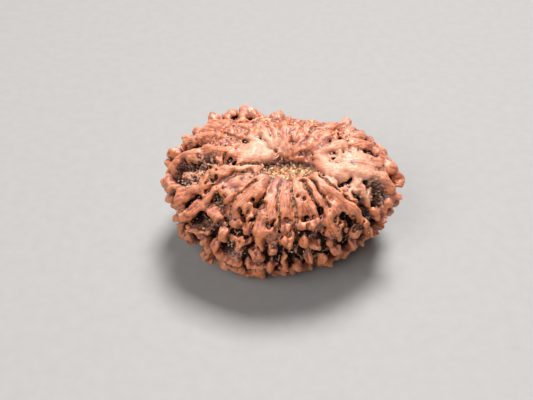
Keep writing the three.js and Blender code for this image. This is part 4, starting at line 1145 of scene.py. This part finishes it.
def salmon_shell():
    """Waxy crests over orange and brown flanks, and dark pits with dust on their floors, with painted
    light and shade: a top light, a glow under the lips, shade on the flanks and in the pits, and a
    highlight on the pale shoulders, which are partly wear.
    """
    shell = Shell("salmon_shell")
    dark = shell.pit_darkness_and_shade()
    colour = shell.valley(shell.flank(shell.crest()))
    # Pits and crevices go near black: partly their real colour, partly painted shade.
    colour = shell.mix(dark, colour, PIT_BROWN)
    colour = shell.scar(shell.patches(colour))
    shell.join(colour, shell.shader.inputs["Base Color"])
    shell.gloss(dark)
    shell.relief()
    return shell.material


# Light and dark tones of the loose dirt, and its roughness.
DIRT_TONES = {
    "straw_fibre": ((1.0, 0.76, 0.48), (0.55, 0.21, 0.09)),
    "pit_crumb": ((0.95, 0.68, 0.50), (0.04, 0.015, 0.015)),
    "scar_dust": ((0.55, 0.36, 0.32), (0.05, 0.02, 0.022)),
    "seam_husk": ((0.90, 0.55, 0.33), (0.45, 0.20, 0.10)),
}
DIRT_ROUGHNESS = 0.55


def dirt_finish(name):
    """Dry fibre or crumbs, lighter and darker from one to the next."""
    finish = Finish(name)
    light, dark = DIRT_TONES[name]
    finish.join(finish.mix(finish.layer("tone"), light, dark), finish.shader.inputs["Base Color"])
    finish.shader.inputs["Roughness"].default_value = DIRT_ROUGHNESS
    return finish.material


# Floor: its grain's size in mm and detail, and the two greys of it.
FLOOR_GRAIN = (1.5, 4)
FLOOR_DARK = (0.28, 0.28, 0.28)
FLOOR_LIGHT = (0.32, 0.32, 0.32)
FLOOR_ROUGHNESS = 0.7


def floor_finish():
    """Plain pale grey with a faint grain."""
    finish = Finish("pale_floor")
    colour = finish.mix(finish.noise(*FLOOR_GRAIN), FLOOR_DARK, FLOOR_LIGHT)
    finish.join(colour, finish.shader.inputs["Base Color"])
    finish.shader.inputs["Roughness"].default_value = FLOOR_ROUGHNESS
    return finish.material


class Tree:
    """Short words for the nodes that make one kind of loose dirt."""

    def __init__(self, name, sizes):
        self.tree = bpy.data.node_groups.new(name, "GeometryNodeTree")
        face = self.tree.interface
        face.new_socket("Geometry", in_out="INPUT", socket_type="NodeSocketGeometry")
        face.new_socket("Geometry", in_out="OUTPUT", socket_type="NodeSocketGeometry")
        self.sizes = sizes
        self.sockets = {}
        for label, value in sizes.items():
            kind = "NodeSocketInt" if isinstance(value, int) else "NodeSocketFloat"
            self.sockets[label] = face.new_socket(label, in_out="INPUT", socket_type=kind).identifier
        self.start = self.tree.nodes.new("NodeGroupInput")
        self.end = self.tree.nodes.new("NodeGroupOutput")

    def size(self, label):
        return self.start.outputs[label]

    def add(self, kind, sockets, **settings):
        """A node with its settings made and its sockets joined or set."""
        node = self.tree.nodes.new(kind)
        for name, value in settings.items():
            setattr(node, name, value)
        for key, value in sockets.items():
            socket = node.inputs[key]
            if isinstance(value, bpy.types.NodeSocket):
                self.tree.links.new(value, socket)
            else:
                socket.default_value = value
        return node

    def between(self, low, high, number):
        """A random number for each point."""
        node = self.add("FunctionNodeRandomValue", {2: low, 3: high, "Seed": number})
        return node.outputs[1]

    def times(self, first, second):
        node = self.add("ShaderNodeMath", {0: first, 1: second}, operation="MULTIPLY")
        return node.outputs[0]

    def tube(self, curve, sides, radius):
        """A closed tube along a curve."""
        ring = self.add("GeometryNodeCurvePrimitiveCircle", {"Resolution": sides, "Radius": radius})
        node = self.add("GeometryNodeCurveToMesh", {
            "Curve": curve, "Profile Curve": ring.outputs[0], "Fill Caps": True})
        return node.outputs[0]

    def kept_tone(self, geometry, tone, domain):
        """The same geometry with the tone that its finish reads."""
        node = self.add("GeometryNodeStoreNamedAttribute", {
            "Geometry": geometry, "Name": "tone", "Value": tone}, data_type="FLOAT", domain=domain)
        return node.outputs[0]

    def run(self, piece, geometry, material, name):
        """Ends the tree, runs it on a piece and gives its result as a plain mesh."""
        real = self.add("GeometryNodeRealizeInstances", {"Geometry": geometry})
        dressed = self.add("GeometryNodeSetMaterial", {"Geometry": real.outputs[0], "Material": material})
        self.tree.links.new(dressed.outputs[0], self.end.inputs[0])
        modifier = piece.modifiers.new(name, "NODES")
        modifier.node_group = self.tree
        for label, value in self.sizes.items():
            modifier[self.sockets[label]] = value
        return put_in_scene(name, applied(piece, modifier, name))


# Shapes of the loose dirt: a grain's sides as shares of its length, and a strand in shares of
# its own length. Two more seeds draw their sizes and tones.
GRAIN_SHAPE = (1.0, 0.6, 0.45)
STRAND = {"first_end": 0.02, "last_end": 0.05, "aside": 0.08, "arch": 0.16, "radius": 0.09,
          "steps": 6, "sides": 4}
SIZE_SEED = 7
TONE_SEED = 11


def scatter(piece, name, kind, material):
    """Small shapes spread over the piece where one of its layers says, each turned its own way."""
    tree = Tree(name, kind["sizes"])
    layer = tree.add("GeometryNodeInputNamedAttribute", {"Name": kind["layer"]}, data_type="FLOAT")
    spread = tree.add("GeometryNodeDistributePointsOnFaces", {
        "Mesh": tree.start.outputs[0], "Seed": tree.size("Seed"),
        "Density": tree.times(layer.outputs[0], tree.size("Density"))})
    tip = kind["tip"]
    turn = tree.add("FunctionNodeRandomValue", {
        0: (-tip, -tip, 0), 1: (tip, tip, 2 * math.pi), "Seed": tree.size("Seed")},
        data_type="FLOAT_VECTOR")
    rotation = tree.add("FunctionNodeRotateRotation", {
        "Rotation": spread.outputs["Rotation"], "Rotate By": turn.outputs[0]}, rotation_space="LOCAL")
    put = tree.add("GeometryNodeInstanceOnPoints", {
        "Points": spread.outputs[0], "Instance": kind["shape"](tree), "Rotation": rotation.outputs[0],
        "Scale": tree.between(tree.size("Smallest"), tree.size("Largest"), SIZE_SEED)})
    toned = tree.kept_tone(put.outputs[0], tree.between(0.0, 1.0, TONE_SEED), "INSTANCE")
    return tree.run(piece, toned, material, name)


def crumb(tree):
    """A rough grain, 1 mm across before it is scaled."""
    ball = tree.add("GeometryNodeMeshIcoSphere", {"Radius": MM / 2, "Subdivisions": 1})
    flat = tree.add("GeometryNodeTransform", {"Geometry": ball.outputs[0], "Scale": GRAIN_SHAPE})
    return flat.outputs[0]


def strand(tree):
    """A bent strand that lies along its base, 1 mm long before it is scaled."""
    arc = tree.add("GeometryNodeCurveArc", {
        "Resolution": STRAND["steps"],
        "Start": (-MM / 2, 0, STRAND["first_end"] * MM),
        "Middle": (0, STRAND["aside"] * MM, STRAND["arch"] * MM),
        "End": (MM / 2, 0, STRAND["last_end"] * MM)}, mode="POINTS")
    return tree.tube(arc.outputs[0], STRAND["sides"], STRAND["radius"] * MM)


# Threads of husk in the seams, in mm, and how their places on the skin are found: degrees
# between two of them, and where and how finely the skin is looked for over the floor.
THREAD = {"radius": 0.045, "wander": 0.25, "step": 0.35, "sides": 5, "tone": 0.3, "seed": 5}
PATH_STEP = 2
SEARCH = {"from": 2.5, "to": -1.5, "step": 0.05}


def surface_path(form, grid, stations):
    """Points in world metres where a path lies on the form's skin."""
    points = []
    for (a0, c0), (a1, c1) in zip(stations, stations[1:]):
        steps = max(2, math.ceil(math.hypot(a1 - a0, c1 - c0) / PATH_STEP))
        for i in range(steps):
            share = i / steps
            points.append((a0 + share * (a1 - a0), c0 + share * (c1 - c0)))
    points.append(stations[-1])
    heights = np.arange(SEARCH["from"], SEARCH["to"], -SEARCH["step"])
    found = []
    for azimuth, colatitude in points:
        base = on_floor(azimuth, colatitude)
        out = np.array(floor_out(*base)[1])
        values = grid.sample(form, base + heights[:, None] * out)
        inside = np.nonzero(values < 0)[0]
        if len(inside):
            found.append(base + heights[inside[0]] * out)
    return to_world(np.array(found))


def seam_lines(form, grid):
    """Bare lines along the seams."""
    points = []
    edges = []
    for stations in SEAMS:
        run = surface_path(form, grid, stations)
        first = len(points)
        points.extend(run)
        edges.extend((first + i, first + i + 1) for i in range(len(run) - 1))
    mesh = bpy.data.meshes.new("seam_lines")
    mesh.from_pydata([tuple(point) for point in points], edges, [])
    return put_in_scene("seam_lines", mesh)


def seam_threads(lines, material):
    """Pale threads of husk left lying in the seams."""
    tree = Tree("seam_threads", {
        "Thickness": THREAD["radius"] * MM, "Wander": THREAD["wander"] * MM,
        "Seed": THREAD["seed"]})
    curve = tree.add("GeometryNodeMeshToCurve", {"Mesh": tree.start.outputs[0]})
    even = tree.add("GeometryNodeResampleCurve", {
        "Curve": curve.outputs[0], "Length": THREAD["step"] * MM}, mode="LENGTH")
    limits = []
    for side in (-0.5, 0.5):
        way = tree.times(tree.size("Wander"), side)
        limits.append(tree.add("ShaderNodeCombineXYZ", {0: way, 1: way, 2: way}).outputs[0])
    shake = tree.add("FunctionNodeRandomValue", {
        0: limits[0], 1: limits[1], "Seed": tree.size("Seed")}, data_type="FLOAT_VECTOR")
    moved = tree.add("GeometryNodeSetPosition", {
        "Geometry": even.outputs[0], "Offset": shake.outputs[0]})
    tube = tree.tube(moved.outputs[0], THREAD["sides"], tree.size("Thickness"))
    toned = tree.kept_tone(tube, THREAD["tone"], "POINT")
    threads = tree.run(lines, toned, material, "seam_threads")
    bpy.data.objects.remove(lines)
    return threads


# Loose dirt: the layer that says where it lies, how far it tips over in radians, how many lie
# on a square metre, and the smallest and largest in mm.
DIRT = {
    "pit_crumbs": {
        "finish": "pit_crumb", "shape": crumb, "layer": "crumbs", "tip": 1.0,
        "sizes": {"Density": 5.0e6, "Smallest": 0.15, "Largest": 0.5, "Seed": 3}},
    "pit_fibres": {
        "finish": "seam_husk", "shape": strand, "layer": "crumbs", "tip": 0.4,
        "sizes": {"Density": 1.0e6, "Smallest": 0.3, "Largest": 0.8, "Seed": 4}},
    "scar_fibres": {
        "finish": "straw_fibre", "shape": strand, "layer": "gold", "tip": 0.7,
        "sizes": {"Density": 1.2e7, "Smallest": 0.3, "Largest": 0.7, "Seed": 6}},
    "scar_crumbs": {
        "finish": "straw_fibre", "shape": crumb, "layer": "gold", "tip": 1.0,
        "sizes": {"Density": 1.8e7, "Smallest": 0.25, "Largest": 0.55, "Seed": 8}},
    "scar_dust": {
        "finish": "scar_dust", "shape": crumb, "layer": "scar", "tip": 1.0,
        "sizes": {"Density": 1.4e7, "Smallest": 0.12, "Largest": 0.35, "Seed": 9}},
}


def loose_dirt(skin, form, grid):
    """Crumbs and fibres in the pits and in the scar, and threads in the seams."""
    finishes = {name: dirt_finish(name) for name in DIRT_TONES}
    pieces = [scatter(skin, name, kind, finishes[kind["finish"]]) for name, kind in DIRT.items()]
    pieces.append(seam_threads(seam_lines(form, grid), finishes["seam_husk"]))
    return pieces


def add_floor(material):
    """A pale sheet that the seed lies on."""
    half = FLOOR_HALF
    corners = np.array([(-half, -half, 0), (half, -half, 0), (half, half, 0), (-half, half, 0)])
    floor = mesh_object("floor", corners, np.array([[0, 1, 2, 3]]))
    floor.data.materials.append(material)


def add_camera():
    """From the front, high over the seed's middle."""
    height = CAMERA_HEIGHT
    away = CAMERA_AWAY * MM
    data = bpy.data.cameras.new("camera")
    data.sensor_width = PICTURE_WIDTH
    data.lens = LENS
    data.clip_start = NEAREST_SEEN
    data.shift_x = CAMERA_SHIFT[0] / PHOTO_WIDTH
    data.shift_y = CAMERA_SHIFT[1] / PHOTO_WIDTH
    camera = put_in_scene("camera", data)
    camera.location = (CENTRE[0] * MM, -away * math.cos(height), CENTRE[2] * MM + away * math.sin(height))
    camera.rotation_euler = (math.pi / 2 - height, 0, 0)
    bpy.context.scene.camera = camera


def add_lamp(name, place, width, power, colour):
    """A square soft lamp that looks at the seed."""
    data = bpy.data.lights.new(name, "AREA")
    data.shape = "SQUARE"
    data.size = width
    data.energy = power
    data.color = colour
    lamp = put_in_scene(name, data)
    lamp.location = place
    lamp.rotation_euler = (-Vector(place)).to_track_quat("-Z", "Y").to_euler()


def add_light():
    """A broad lamp overhead, a little behind and to the right, a soft one in front, and an even
    room."""
    add_lamp("overhead", **OVERHEAD)
    add_lamp("front_fill", **FRONT_FILL)
    world = bpy.data.worlds.new("room")
    world.use_nodes = True
    background = world.node_tree.nodes["Background"]
    background.inputs["Color"].default_value = ROOM["colour"]
    background.inputs["Strength"].default_value = ROOM["strength"]
    bpy.context.scene.world = world
    bpy.context.scene.view_settings.view_transform = "Standard"


def dress(piece):
    """Says that a piece belongs to the seed."""
    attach(piece, "root")


def main():
    grid = Grid(CELL)
    form, above = grow_form(grid)
    skin = make_skin(form, above, grid)
    dirt = loose_dirt(skin, form, grid)
    skin.data.materials.append(salmon_shell())
    dress(skin)
    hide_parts(NODE)
    for piece in dirt:
        dress(piece)
    add_floor(floor_finish())
    add_camera()
    add_light()


main()
